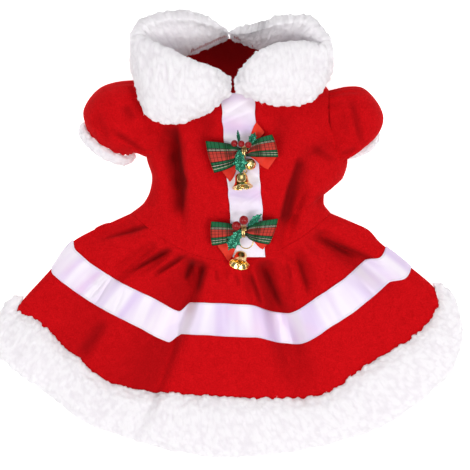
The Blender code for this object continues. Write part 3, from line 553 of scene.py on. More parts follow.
@dataclass(frozen=True)
class FleeceFinish(Finish):
    """Brushed red fleece with a short nap, with shade painted darker in its folds and down inside the neck.
    """

    name: str = "red_fleece_nap"
    slot: Slot = Slot.FLEECE
    shade: Colour = (0.47, 0.0012, 0.0030)
    light: Colour = (0.66, 0.0040, 0.0075)
    # The last colour is painted shade, for the folds and the inside of the neck.
    closed: Colour = (0.15, 0.0008, 0.0016)

    def apply(self, paint: Paint) -> None:
        """Paints the fleece.

        Args:
            paint: The material in the making.
        """
        paint.coat(Roughness=0.95, Specular_IOR_Level=0.08, Sheen_Weight=0.10, Sheen_Roughness=0.45)
        nap = paint.nap(0.0011, 0.0052)
        colour = paint.blend(paint.rescale(nap["Shade"], 0.36, 0.64), self.shade, self.light)
        # Painted shade: the stored fold value darkens the nap in the creases and down inside the neck.
        colour = paint.blend(paint.stored("fold", 0.86), colour, self.closed)
        normal = paint.bump(nap["Height"], 0.5, 0.0011)
        paint.coat(Sheen_Tint=(1.0, 0.12, 0.12, 1.0), Base_Color=colour, Normal=normal)


@dataclass(frozen=True)
class PlushFinish(Finish):
    """White curly plush, with shade painted greyer down between its curls."""

    name: str = "white_plush_pile"
    slot: Slot = Slot.PLUSH
    # The first colour is painted shade down between the curls, the second the plush's own white.
    hollow_shade: Colour = (0.85, 0.81, 0.85)
    tip: Colour = (0.95, 0.91, 0.95)

    def apply(self, paint: Paint) -> None:
        """Paints the plush.

        Args:
            paint: The material in the making.
        """
        paint.coat(Roughness=0.9, Specular_IOR_Level=0.15, Sheen_Weight=0.25, Sheen_Roughness=0.6)
        paint.coat(Subsurface_Weight=0.5, Subsurface_Scale=0.006, Subsurface_Radius=(1.0, 1.0, 1.0))
        nap = paint.nap(0.0008, 0.0030)
        # Partly random tone from the nap and partly painted shade: low places in the stored pile height get
        # the grey.
        depth = paint.math("MULTIPLY_ADD", nap["Shade"], 0.5, paint.stored("pile", 0.75))
        paint.coat(Base_Color=paint.blend(paint.rescale(depth, 0.22, 0.62), self.hollow_shade, self.tip))
        paint.coat(Normal=paint.bump(nap["Height"], 0.55, 0.0009))


@dataclass(frozen=True)
class SatinFinish(Finish):
    """White satin, with slanted bands of painted sheen and lavender shade, and patches of painted pink shade.
    """

    name: str = "white_satin_sheen"
    slot: Slot = Slot.SATIN
    pale: Colour = (0.92, 0.85, 0.94)
    # Painted shade colours, lavender and pink.
    lavender_shade: Colour = (0.72, 0.56, 0.84)
    pink_shade: Colour = (0.86, 0.56, 0.79)

    def apply(self, paint: Paint) -> None:
        """Paints the satin.

        Args:
            paint: The material in the making.
        """
        paint.coat(Specular_IOR_Level=0.5, Sheen_Weight=0.15, Sheen_Roughness=0.3)
        cloth = paint.cloth()
        slant = paint.add("Mapping", None, Vector=cloth, Rotation=(0, 0, radians(28)), Scale=(55, 12, 1))
        # Painted sheen and shade: slanted bands swap the white for the shade colour, and patches tint that
        # shade from lavender towards pink.
        bands = paint.cloud(slant.outputs[0], 1.0, 1.5, 0.45)
        patch = paint.cloud(paint.place(), 38.0, 1.0)
        shade_tint = paint.blend(paint.rescale(patch, 0.50, 0.72, (0.0, 0.6)), self.lavender_shade, self.pink_shade)
        colour = paint.blend(paint.rescale(bands, 0.40, 0.68, (0.0, 0.85)), self.pale, shade_tint)
        weave = paint.weave(cloth, 0.00028)
        # Painted shade, faint, on the threads that lie on top.
        colour = paint.blend(paint.math("MULTIPLY", weave["Over"], 0.05), colour, self.lavender_shade)
        paint.coat(Base_Color=colour, Roughness=paint.rescale(bands, 0.0, 1.0, (0.28, 0.44)))
        folds = paint.bump(bands, 0.6, 0.0014)
        paint.coat(Normal=paint.bump(weave["Height"], 0.25, 0.00006, folds))


@dataclass(frozen=True)
class PlaidFinish(Finish):
    """Woven tartan ribbon, red with green bands and fine pale and dark lines, with shade painted into its
    pleats.
    """

    name: str = "plaid_ribbon_weave"
    slot: Slot = Slot.PLAID
    red: Colour = (0.54, 0.042, 0.028)
    green: Colour = (0.014, 0.125, 0.048)
    # The dark lines' colour, which is also the painted shade in the pleats.
    dark: Colour = (0.010, 0.016, 0.012)
    pale: Colour = (0.62, 0.55, 0.42)
    width: float = 0.0246
    repeat: float = 0.70

    def sett(self) -> list[tuple[float, Colour]]:
        """The order of the bands across the ribbon, by their share of its width."""
        red, green, dark, pale = self.red, self.green, self.dark, self.pale
        return [
            (0.00, dark), (0.02, green), (0.09, pale), (0.11, green), (0.16, dark), (0.19, pale),
            (0.21, dark), (0.24, green), (0.30, dark), (0.33, red), (0.45, dark), (0.462, red),
            (0.58, dark), (0.592, red), (0.66, dark), (0.69, pale), (0.705, dark), (0.735, pale),
            (0.75, dark), (0.78, green), (0.985, dark),
        ]

    def bars(self) -> list[tuple[float, Colour]]:
        """The tints that cross the bands, by their share of one repeat along the ribbon."""
        clear, dim, moss = (1.0, 1.0, 1.0), (0.10, 0.14, 0.10), (0.45, 0.62, 0.40)
        return [
            (0.00, clear), (0.17, dim), (0.20, clear), (0.36, dim), (0.39, clear), (0.55, dim), (0.58, clear),
            (0.70, moss), (0.78, dim), (0.81, clear), (0.84, dim), (0.87, moss), (0.95, clear),
        ]

    def apply(self, paint: Paint) -> None:
        """Paints the ribbon.

        Args:
            paint: The material in the making.
        """
        cloth = paint.cloth()
        axes = paint.add("SeparateXYZ", None, Vector=cloth)
        across = paint.math("DIVIDE", axes.outputs["Y"], self.width)
        along = paint.math("FRACT", paint.math("DIVIDE", axes.outputs["X"], self.repeat * self.width))
        weave = paint.weave(cloth, 0.00042)
        share = paint.math("MULTIPLY_ADD", weave["Over"], 0.24, 0.72)
        bands, bars = paint.ramp(across, self.sett(), True), paint.ramp(along, self.bars(), True)
        colour = paint.blend(share, bands, bars, "MULTIPLY")
        # Painted shade: the stored fold value darkens the pleats' valleys near the knot.
        colour = paint.blend(paint.stored("fold", 0.85), colour, self.dark)
        rough = paint.math("MULTIPLY_ADD", weave["Height"], -0.15, 0.58)
        normal = paint.bump(weave["Height"], 0.2, 0.00010)
        paint.coat(Specular_IOR_Level=0.12, Base_Color=colour, Roughness=rough, Normal=normal)


@dataclass(frozen=True)
class RedRibbonFinish(Finish):
    """Orange-red taffeta ribbon for the bows' tails."""

    name: str = "red_ribbon_weave"
    slot: Slot = Slot.RED_RIBBON
    red: Colour = (0.90, 0.045, 0.020)
    deep: Colour = (0.58, 0.012, 0.008)

    def apply(self, paint: Paint) -> None:
        """Paints the ribbon.

        Args:
            paint: The material in the making.
        """
        patch = paint.cloud(paint.place(), 160.0)
        weave = paint.weave(paint.cloth(), 0.00042)
        share = paint.math("MULTIPLY_ADD", weave["Over"], 0.15, paint.math("MULTIPLY", patch, 0.5))
        rough = paint.math("MULTIPLY_ADD", patch, 0.3, 0.27)
        paint.coat(Specular_IOR_Level=0.12, Roughness=rough, Normal=paint.bump(weave["Height"], 0.2, 0.00010))
        paint.coat(Base_Color=paint.blend(share, self.red, self.deep))


@dataclass(frozen=True)
class HollyFinish(Finish):
    """Teal-green holly cloth set with glitter flakes."""

    name: str = "holly_glitter"
    slot: Slot = Slot.HOLLY
    deep: Colour = (0.002, 0.035, 0.022)
    green: Colour = (0.010, 0.250, 0.135)
    spark: Colour = (0.14, 0.70, 0.46)

    def apply(self, paint: Paint) -> None:
        """Paints the leaf and its glitter.

        Args:
            paint: The material in the making.
        """
        flakes = paint.add("TexVoronoi", {"feature": "F1"}, Vector=paint.place(), Scale=1900.0)
        lit, metal, rough = paint.add("SeparateColor", None, Color=flakes.outputs["Color"]).outputs[:3]
        base = paint.blend(paint.nap(0.0004, 0.0030)["Shade"], self.deep, self.green)
        paint.coat(Base_Color=paint.blend(paint.math("GREATER_THAN", lit, 0.84), base, self.spark))
        paint.coat(Metallic=paint.math("MULTIPLY_ADD", metal, 0.5, 0.3))
        paint.coat(Roughness=paint.math("MULTIPLY_ADD", rough, 0.35, 0.18))
        paint.coat(Normal=paint.bump(metal, 0.8, 0.0003))


@dataclass(frozen=True)
class BerryFinish(Finish):
    """Glossy lacquered red berry."""

    name: str = "berry_lacquer"
    slot: Slot = Slot.BERRY
    red: Colour = (0.40, 0.001, 0.005)
    deep: Colour = (0.20, 0.001, 0.003)

    def apply(self, paint: Paint) -> None:
        """Paints the lacquer.

        Args:
            paint: The material in the making.
        """
        shade = paint.nap(0.0009, 0.0035)["Shade"]
        rough = paint.math("MULTIPLY_ADD", shade, 0.05, 0.05)
        paint.coat(Specular_IOR_Level=0.45, Roughness=rough)
        paint.coat(Base_Color=paint.blend(shade, self.deep, self.red))


@dataclass(frozen=True)
class GoldFinish(Finish):
    """Polished plated brass, with faint rubbing."""

    name: str
    gold: Colour = (1.0, 0.80, 0.36)
    worn: Colour = (0.94, 0.68, 0.25)
    roughness: float = 0.13
    slot: Slot = Slot.GOLD

    def apply(self, paint: Paint) -> None:
        """Paints the metal.

        Args:
            paint: The material in the making.
        """
        nap = paint.nap(0.0005, 0.0060)
        rubbed = paint.math("MULTIPLY_ADD", nap["Shade"], 0.10, self.roughness - 0.04)
        paint.coat(Metallic=1.0, Base_Color=paint.blend(nap["Shade"], self.gold, self.worn), Roughness=rubbed)
        paint.coat(Normal=paint.bump(nap["Height"], 0.02, 0.0002))


@dataclass(frozen=True)
class ThreadFinish(Finish):
    """Twisted sewing thread."""

    name: str
    slot: Slot
    colour: Colour
    shade: Colour

    def apply(self, paint: Paint) -> None:
        """Paints the thread.

        Args:
            paint: The material in the making.
        """
        nap = paint.nap(0.0002, 0.0010)
        paint.coat(Roughness=0.6, Sheen_Weight=0.3, Normal=paint.bump(nap["Height"], 0.3, 0.0001))
        paint.coat(Base_Color=paint.blend(nap["Shade"], self.shade, self.colour))


class Wardrobe:
    """Every finish of the dress, built once, and how its plush curls."""

    def __init__(self) -> None:
        """Builds the shared effects and the materials."""
        effects = Effects()
        self.fleece = FleeceFinish().make(effects)
        self.plush = PlushFinish().make(effects)
        self.satin = SatinFinish().make(effects)
        self.plaid = PlaidFinish().make(effects)
        self.red_ribbon = RedRibbonFinish().make(effects)
        self.holly = HollyFinish().make(effects)
        self.berry = BerryFinish().make(effects)
        self.gold = GoldFinish("bell_gold_polish").make(effects)
        self.gold_wire = GoldFinish("gold_wire", (0.95, 0.74, 0.34), (0.70, 0.50, 0.20), 0.22).make(effects)
        white = ThreadFinish("white_thread", Slot.SATIN, (0.92, 0.89, 0.93), (0.70, 0.64, 0.74))
        red = ThreadFinish("red_thread", Slot.FLEECE, (0.55, 0.030, 0.035), (0.25, 0.006, 0.010))
        self.white_thread, self.red_thread = white.make(effects), red.make(effects)
        self.pile = Pile()


@dataclass
class Worn:
    """A part of the dress, made with its finishes."""

    wardrobe: Wardrobe

    def curls(self, piece: bpy.types.Object, name: str, count: int) -> bpy.types.Object:
        """Scatters a number of curls over a plush piece, as a piece of that name."""
        return self.wardrobe.pile.scatter_curls(piece, name, count, self.wardrobe.plush)


def sheet_grid(
    columns: int, rows: int, place: Callable[[Array, Array], Array], cloth: tuple[float, float], facing: str
) -> bmesh.types.BMesh:
    """Lays a grid on a surface.

    Args:
        columns: Steps along the first share.
        rows: Steps along the second share.
        place: Gives points in rows from the two shares, each from 0 to 1. A fourth column, stored as fold, is
            how much painted shade each one takes, from 0 to 1, mostly by how deep in a fold it lies.
        cloth: The cloth's flat size in metres along the two shares, which its UV map keeps.
        facing: "out" for a tube or closed form, "up" for a sheet whose upper side is the outer one.

    Returns:
        The surface, merged where its borders meet.
    """
    bm = bmesh.new()
    layer = bm.loops.layers.uv.new("cloth")
    bmesh.ops.create_grid(bm, x_segments=columns, y_segments=rows, size=0.5, calc_uvs=True)
    shares = np.array([vert.co[:2] for vert in bm.verts]) + 0.5
    for face in bm.faces:
        for loop in face.loops:
            at = loop[layer].uv
            loop[layer].uv = (at.x * cloth[0], at.y * cloth[1])
    spots = place(shares[:, 0], shares[:, 1])
    # The fourth column is stored as fold, which the finishes paint as shade.
    fold = bm.verts.layers.float.new("fold") if spots.shape[1] > 3 else None
    for vert, spot in zip(bm.verts, spots.tolist()):
        vert.co = spot[:3]
        if fold:
            vert[fold] = spot[3]
    rim = [vert for vert in bm.verts if vert.is_boundary]
    bmesh.ops.remove_doubles(bm, verts=rim, dist=0.000005)
    bmesh.ops.recalc_face_normals(bm, faces=bm.faces)
    if facing == "up" and sum(face.normal.z * face.calc_area() for face in bm.faces) < 0:
        bmesh.ops.reverse_faces(bm, faces=bm.faces)
    bm.normal_update()
    return bm


def put(name: str, data: bpy.types.ID) -> bpy.types.Object:
    """A new object in the scene, at the origin."""
    thing = bpy.data.objects.new(name, data)
    bpy.context.scene.collection.objects.link(thing)
    return thing


def finish_piece(
    name: str,
    bm: bmesh.types.BMesh,
    look: Look,
    nodes: Sequence[str] = (),
    wall: float = 0.0,
    sharp: float = 60.0,
) -> bpy.types.Object:
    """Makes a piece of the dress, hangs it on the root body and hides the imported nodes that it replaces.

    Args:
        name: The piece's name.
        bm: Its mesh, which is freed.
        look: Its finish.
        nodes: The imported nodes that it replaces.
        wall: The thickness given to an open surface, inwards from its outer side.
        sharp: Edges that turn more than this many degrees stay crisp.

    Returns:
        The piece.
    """
    mesh = bpy.data.meshes.new(name)
    bm.to_mesh(mesh)
    bm.free()
    mesh.shade_smooth()
    mesh.set_sharp_from_angle(angle=radians(sharp))
    mesh.materials.append(look.material)
    piece = put(name, mesh)
    if wall:
        solid = piece.modifiers.new("wall", "SOLIDIFY")
        solid.thickness = wall
        solid.offset = -1.0
    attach(piece, "root")
    if nodes:
        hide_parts(*nodes)
    LOG.info("%s: %d faces", name, len(mesh.polygons))
    return piece


@dataclass
class Pile:
    """Curly plush: lumps raised on a closed form, and short curls scattered over it."""

    curl: float = 0.0050
    rise: float = 0.0019
    fine_rise: float = 0.00050
    strand: float = 0.0017
    strand_radius: float = 0.00022
    seed: int = 4

    def raise_lumps(self, bm: bmesh.types.BMesh, strength: float = 1.0) -> None:
        """Pushes the surface out into curls and stores how high each place stands, which the plush's painted
        shade reads.

        Args:
            bm: A closed form, whose normals point out.
            strength: The share of the full rise.
        """
        layer = bm.verts.layers.float.new("pile")
        points = np.array([vert.co[:] for vert in bm.verts])
        normals = np.array([vert.normal[:] for vert in bm.verts])
        bent = [noise.noise_vector(place)[:] for place in (points / (0.75 * self.curl)).tolist()]
        places = points / self.curl + 0.42 * np.array(bent)
        near = np.array([noise.voronoi(place)[0][:2] for place in places.tolist()])
        lump = 1 - smoothstep(0.0, 0.80, near[:, 0])
        gap = smoothstep(0.0, 0.30, near[:, 1] - near[:, 0])
        fine = drift(points, 0.0026, self.seed)
        swell = drift(points, 0.016, self.seed + 1)
        height = np.clip(0.62 * lump * mix(0.6, 1.0, gap) + 0.22 * gap + 0.16 * (0.5 + 0.5 * swell), 0, 1)
        lift = strength * (self.rise * (height - 0.35) + self.fine_rise * fine + 0.0007 * swell)
        moved = points + normals * lift[:, None]
        moved[:, 2] = np.maximum(moved[:, 2], FLOOR_CLEARANCE)
        # Stored as pile: the plush paints shade where this is low.
        depth = np.clip(height + 0.22 * fine, 0, 1)
        for vert, point, value in zip(bm.verts, moved.tolist(), depth.tolist()):
            vert.co = point
            vert[layer] = value
        bm.normal_update()

    def strand_shape(self, bend: float, twist: float) -> tuple[Array, Array]:
        """One short curled strand, standing on the origin.

        Args:
            bend: How far the strand bows over, as a share of its length.
            twist: How far it winds sideways, in turns.

        Returns:
            Its points and its faces.
        """
        bm = bmesh.new()
        bmesh.ops.create_cone(bm, cap_ends=True, segments=3, radius1=1.0, radius2=0.35, depth=1.0)
        ring = [edge for edge in bm.edges if abs(edge.verts[0].co.z - edge.verts[1].co.z) > 0.5]
        bmesh.ops.subdivide_edges(bm, edges=ring, cuts=3, use_grid_fill=False)
        bmesh.ops.triangulate(bm, faces=bm.faces)
        bm.verts.index_update()
        raw = np.array([vert.co[:] for vert in bm.verts])
        faces = np.array([[vert.index for vert in face.verts] for face in bm.faces])
        bm.free()
        up = raw[:, 2] + 0.5
        angle = 2 * pi * twist * up
        thick = mix(1.0, 0.45, up) * self.strand_radius
        x = raw[:, 0] * thick + self.strand * (bend * up**1.4 + 0.12 * np.sin(angle))
        y = raw[:, 1] * thick + self.strand * 0.20 * (1 - np.cos(angle))
        z = self.strand * (0.55 * np.sin(up * 2.2) - 0.12)
        return np.stack([x, y, z], axis=1), faces

    def scatter_curls(self, source: bpy.types.Object, name: str, count: int, look: Look) -> bpy.types.Object:
        """Sets curls over a plush piece, as one joined mesh.

        Args:
            source: The plush piece.
            name: The name of the new piece.
            count: How many curls.
            look: The plush finish.

        Returns:
            The piece that holds the curls.
        """
        rng = np.random.default_rng(self.seed)
        mesh = source.data
        mesh.calc_loop_triangles()
        spots = np.array([vert.co[:] for vert in mesh.vertices])
        ups = np.array([vert.normal[:] for vert in mesh.vertices])
        corners = np.array([tri.vertices[:] for tri in mesh.loop_triangles])
        a, b, c = (spots[corners[:, k]] for k in range(3))
        areas = np.linalg.norm(np.cross(b - a, c - a), axis=1)
        picks = rng.choice(len(corners), size=count, p=areas / areas.sum())
        shares = rng.dirichlet((1.0, 1.0, 1.0), size=count)
        feet = (spots[corners[picks]] * shares[..., None]).sum(axis=1)
        out = (ups[corners[picks]] * shares[..., None]).sum(axis=1)
        out = unit(out)
        side = unit(np.cross(out, rng.normal(size=(count, 3))))
        other = np.cross(out, side)
        scale = rng.uniform(0.6, 1.25, size=count)
        shapes = [self.strand_shape(bend, twist) for bend, twist in ((0.75, 0.9), (0.5, 1.3), (0.95, 0.6))]
        kinds = rng.integers(0, len(shapes), size=count)
        points, faces, start = [], [], 0
        for kind, (shape, shape_faces) in enumerate(shapes):
            for k in np.nonzero(kinds == kind)[0]:
                turn = np.stack([side[k], other[k], out[k]])
                points.append(feet[k] + shape * scale[k] @ turn)
                faces.append(shape_faces + start)
                start += len(shape)
        places = np.concatenate(points)
        places[:, 2] = np.maximum(places[:, 2], FLOOR_CLEARANCE)
        curls = bpy.data.meshes.new(name)
        curls.from_pydata(places.tolist(), [], np.concatenate(faces).tolist())
        # The curls stand high, so they take little of the plush's painted shade.
        layer = curls.attributes.new("pile", "FLOAT", "POINT")
        layer.data.foreach_set("value", np.full(len(places), 0.9, np.float32))
        bm = bmesh.new()
        bm.from_mesh(curls)
        return finish_piece(name, bm, look)


@dataclass
class Stitching:
    """Rows of short thread stitches, as one joined mesh."""

    radius: float = 0.00022
    length: float = 0.0022

    def sew(self, name: str, spots: Array, ways: Array, look: Look) -> bpy.types.Object:
        """Lays a stitch at each spot.

        Args:
            name: The piece's name.
            spots: The stitches' middles.
            ways: The direction that each one runs in.
            look: The thread's finish.

        Returns:
            The stitches.
        """
        bm = bmesh.new()
        for spot, way in zip(spots, ways):
            turn = Vector((1, 0, 0)).rotation_difference(Vector(way)).to_matrix().to_4x4()
            size = Matrix.Diagonal((self.length / 2, self.radius, self.radius, 1.0))
            bmesh.ops.create_uvsphere(
                bm, u_segments=6, v_segments=4, radius=1.0, matrix=Matrix.Translation(spot) @ turn @ size
            )
        bmesh.ops.recalc_face_normals(bm, faces=bm.faces)
        return finish_piece(name, bm, look)


class BodiceRow(NamedTuple):
    """A level of the bodice: shares of the side length, half chest, chest rise and edge height."""

    along: float
    left: float
    right: float
    rise: float
    edge: float


@dataclass
class Bodice(Worn):
    """The fleece bodice, an open tube that is flattened on its back."""

    half_chest: float = 0.0760
    side_length: float = 0.1148
    waist_y: float = 0.0167
    neck_front_dip: float = 0.0228
    neck_back_rise: float = 0.0182
    waist_front_dip: float = 0.0365
    waist_back_dip: float = 0.0230
    chest_rise: float = 0.0440
    edge_height: float = 0.0170
    wall: float = 0.0020
    full_crease: float = 0.0036
    flat: tuple[float, float] = (0.34, 0.125)
    rows: tuple[BodiceRow, ...] = table(BodiceRow, [
        (0.00, -0.74, 0.67, 0.88, 1.10), (0.13, -0.89, 0.88, 0.96, 1.05), (0.30, -0.94, 1.03, 1.00, 1.00),
        (0.50, -0.92, 1.11, 1.00, 1.00), (0.65, -0.88, 1.13, 0.97, 1.00), (0.77, -0.83, 1.08, 0.92, 1.00),
        (0.85, -0.85, 0.90, 0.87, 0.98), (0.93, -0.91, 0.89, 0.83, 0.95), (1.00, -1.04, 0.96, 0.80, 0.92),
    ])
    dents: tuple[Dent, ...] = table(Dent, [
        (-0.60, -0.53, 0.30, 1.00, 0.15, 0.055, 0.34), (0.68, 0.44, 0.58, 1.12, 0.07, 0.09, 0.22),
        (-0.30, -0.34, 0.95, 1.25, 0.10, 0.10, 0.10), (0.98, 0.80, 0.70, 0.95, 0.06, 0.08, 0.10),
    ])
    creases: tuple[Crease, ...] = table(Crease, [
        (-45, 84, -42, 58, 2.0, 8.0, 3.40), (-43, 62, -38, 38, 1.6, 8.0, 4.60),
        (-38, 42, -41, 17, 2.0, 7.0, 3.80), (49, 58, 42, 36, 7.0, 2.0, 3.60),
        (42, 38, 35, 10, 7.5, 1.8, 4.60), (60, 66, 76, 57, 3.0, 3.0, 1.35),
        (52, 60, 74, 70, 5.0, 4.0, 1.20), (-60, 60, -52, 82, 4.0, 4.0, 1.20),
        (62, 30, 70, 20, 4.0, 3.0, 1.50), (-20, 92, -24, 60, 7.0, 7.0, 1.35),
        (36, 92, 31, 64, 8.0, 6.0, 1.20), (-62, 44, -64, 22, 4.0, 4.0, 1.05),
    ])

    def __post_init__(self) -> None:
        """Reads the table's columns."""
        self.left = Column(self.rows, "left")
        self.right = Column(self.rows, "right")
        self.rise = Column(self.rows, "rise")
        self.edge = Column(self.rows, "edge")

    def point(self, across: Array, front: Array, along: Array, outset: Any = 0.0, fine: bool = True) -> Array:
        """Points of the bodice.

        Args:
            across: From -1 at the left edge to 1 at the right one.
            front: Whether each point is on the front.
            along: From 0 at the neck to 1 at the waist.
            outset: How far out of the cloth.
            fine: Whether the small creases are there.

        Returns:
            The points.
        """
        left = self.left(along) * self.half_chest - outset
        right = self.right(along) * self.half_chest + outset
        x = mix(left, right, (across + 1) / 2)
        bow = 1 - across * across
        front_dip = mix(self.neck_front_dip, self.waist_front_dip, along)
        back_dip = mix(-self.neck_back_rise, self.waist_back_dip, along)
        y = self.waist_y + self.side_length * (1 - along) - np.where(front, front_dip, back_dip) * bow
        edge = self.edge(along) * self.edge_height
        full = fullness(across, 6)
        back_z = edge * (1 - np.minimum(1.0, 1.3 * full)) - outset * full
        z = edge + (self.rise(along) * self.chest_rise - edge) * fullness(across, 3) + outset * full
        middle = (x - outset * across) / self.half_chest
        z = z - self.chest_rise * dented(self.dents, middle, along) * fullness(across, 8)
        if fine:
            z = z - pressed(self.creases, x, y) * fullness(across, 8)
        return stack(x, y, np.where(front, z, back_z))

    def place(self, x: Array, y: Array) -> tuple[Array, Array]:
        """Finds the front point over a place.

        Args:
            x: The places' x.
            y: The places' y.

        Returns:
            Its across and along shares.
        """
        along = np.full(np.shape(x), 0.5)
        across = np.zeros(np.shape(x))
        for _ in range(24):
            left = self.left(along) * self.half_chest
            right = self.right(along) * self.half_chest
            across = np.clip((2 * x - left - right) / (right - left), -1.0, 1.0)
            bow = 1 - across * across
            above = self.waist_y + self.side_length - self.neck_front_dip * bow - y
            along = above / (self.side_length + (self.waist_front_dip - self.neck_front_dip) * bow)
        return across, along

    def height(self, x: Any, y: Any, outset: float = 0.0) -> Array:
        """The height of the front over a place.

        Args:
            x: The places' x.
            y: The places' y.
            outset: How far out of the cloth.

        Returns:
            The heights.
        """
        x, y = np.asarray(x, float), np.asarray(y, float)
        across, along = self.place(x, y)
        return self.point(across, np.full(x.shape, True), np.clip(along, 0.0, 1.0), outset)[..., 2]

    def around(self, share: Array, front_share: float, evenness: float) -> tuple[Array, Array]:
        """Turns a share of the way round a flattened tube into a place on its front or back.

        Args:
            share: From 0 at the left edge, over the front, to 1 back at the left edge.
            front_share: The share of the steps that the front takes.
            evenness: 0 packs the steps at the side edges, 1 spaces them evenly.

        Returns:
            The across shares and whether each is on the front.
        """
        front = share <= front_share
        t = np.where(front, 2 * share / front_share - 1, 2 * (share - front_share) / (1 - front_share) - 1)
        across = mix(np.sin(pi * t / 2), t, evenness)
        return np.where(front, across, -across), front

    def build(self, sleeves: Sequence["Sleeve"]) -> bpy.types.Object:
        """Builds the bodice with its armholes open.

        Args:
            sleeves: The sleeves that are sewn in.

        Returns:
            The piece.
        """
        def lay(u: Array, v: Array) -> Array:
            """The bodice's points with the cloth's own unevenness, and how much painted shade each one takes.
            """
            across, front = self.around(u, 0.68, 0.35)
            points = self.point(across, front, 1.012 * v)
            points[:, 2] -= np.where(front, 0.0007 * smoothstep(0.975, 1.0, v), 0.0)
            lift = 0.00045 * drift(points, 0.020, 3) + 0.00016 * drift(points, 0.006, 4)
            points[:, 2] += np.where(front, lift * fullness(across, 6), 0.0)
            # The fourth column is painted shade: how deep in a crease each front point lies, and on the back,
            # how far down inside the neck.
            deep = np.clip(pressed(self.creases, points[:, 0], points[:, 1]) / self.full_crease, 0, 1)
            inside = (1 - smoothstep(0.05, 0.35, v)) * (1 - across**2)
            return np.column_stack([points, np.where(front, deep * fullness(across, 8), inside)])

        bm = sheet_grid(210, 84, lay, (self.flat[0], self.side_length), "out")
        inside = [face for face in bm.faces if any(s.holds(face.calc_center_median()) for s in sleeves)]
        bmesh.ops.delete(bm, geom=inside, context="FACES")
        nodes = ["bodice_front", "bodice_back"]
        piece = finish_piece("bodice_fleece", bm, self.wardrobe.fleece, nodes, self.wall)
        return piece


class SkirtRow(NamedTuple):
    """A rib of the skirt: its bearing in degrees from straight down, and shares of reach, rib and trim."""

    bearing: float
    hem: float
    stripe: float
    trim: float


class SideRow(NamedTuple):
    """How far the side edges bow out at a share of the rib, as shares of the reach."""

    along: float
    left: float
    right: float


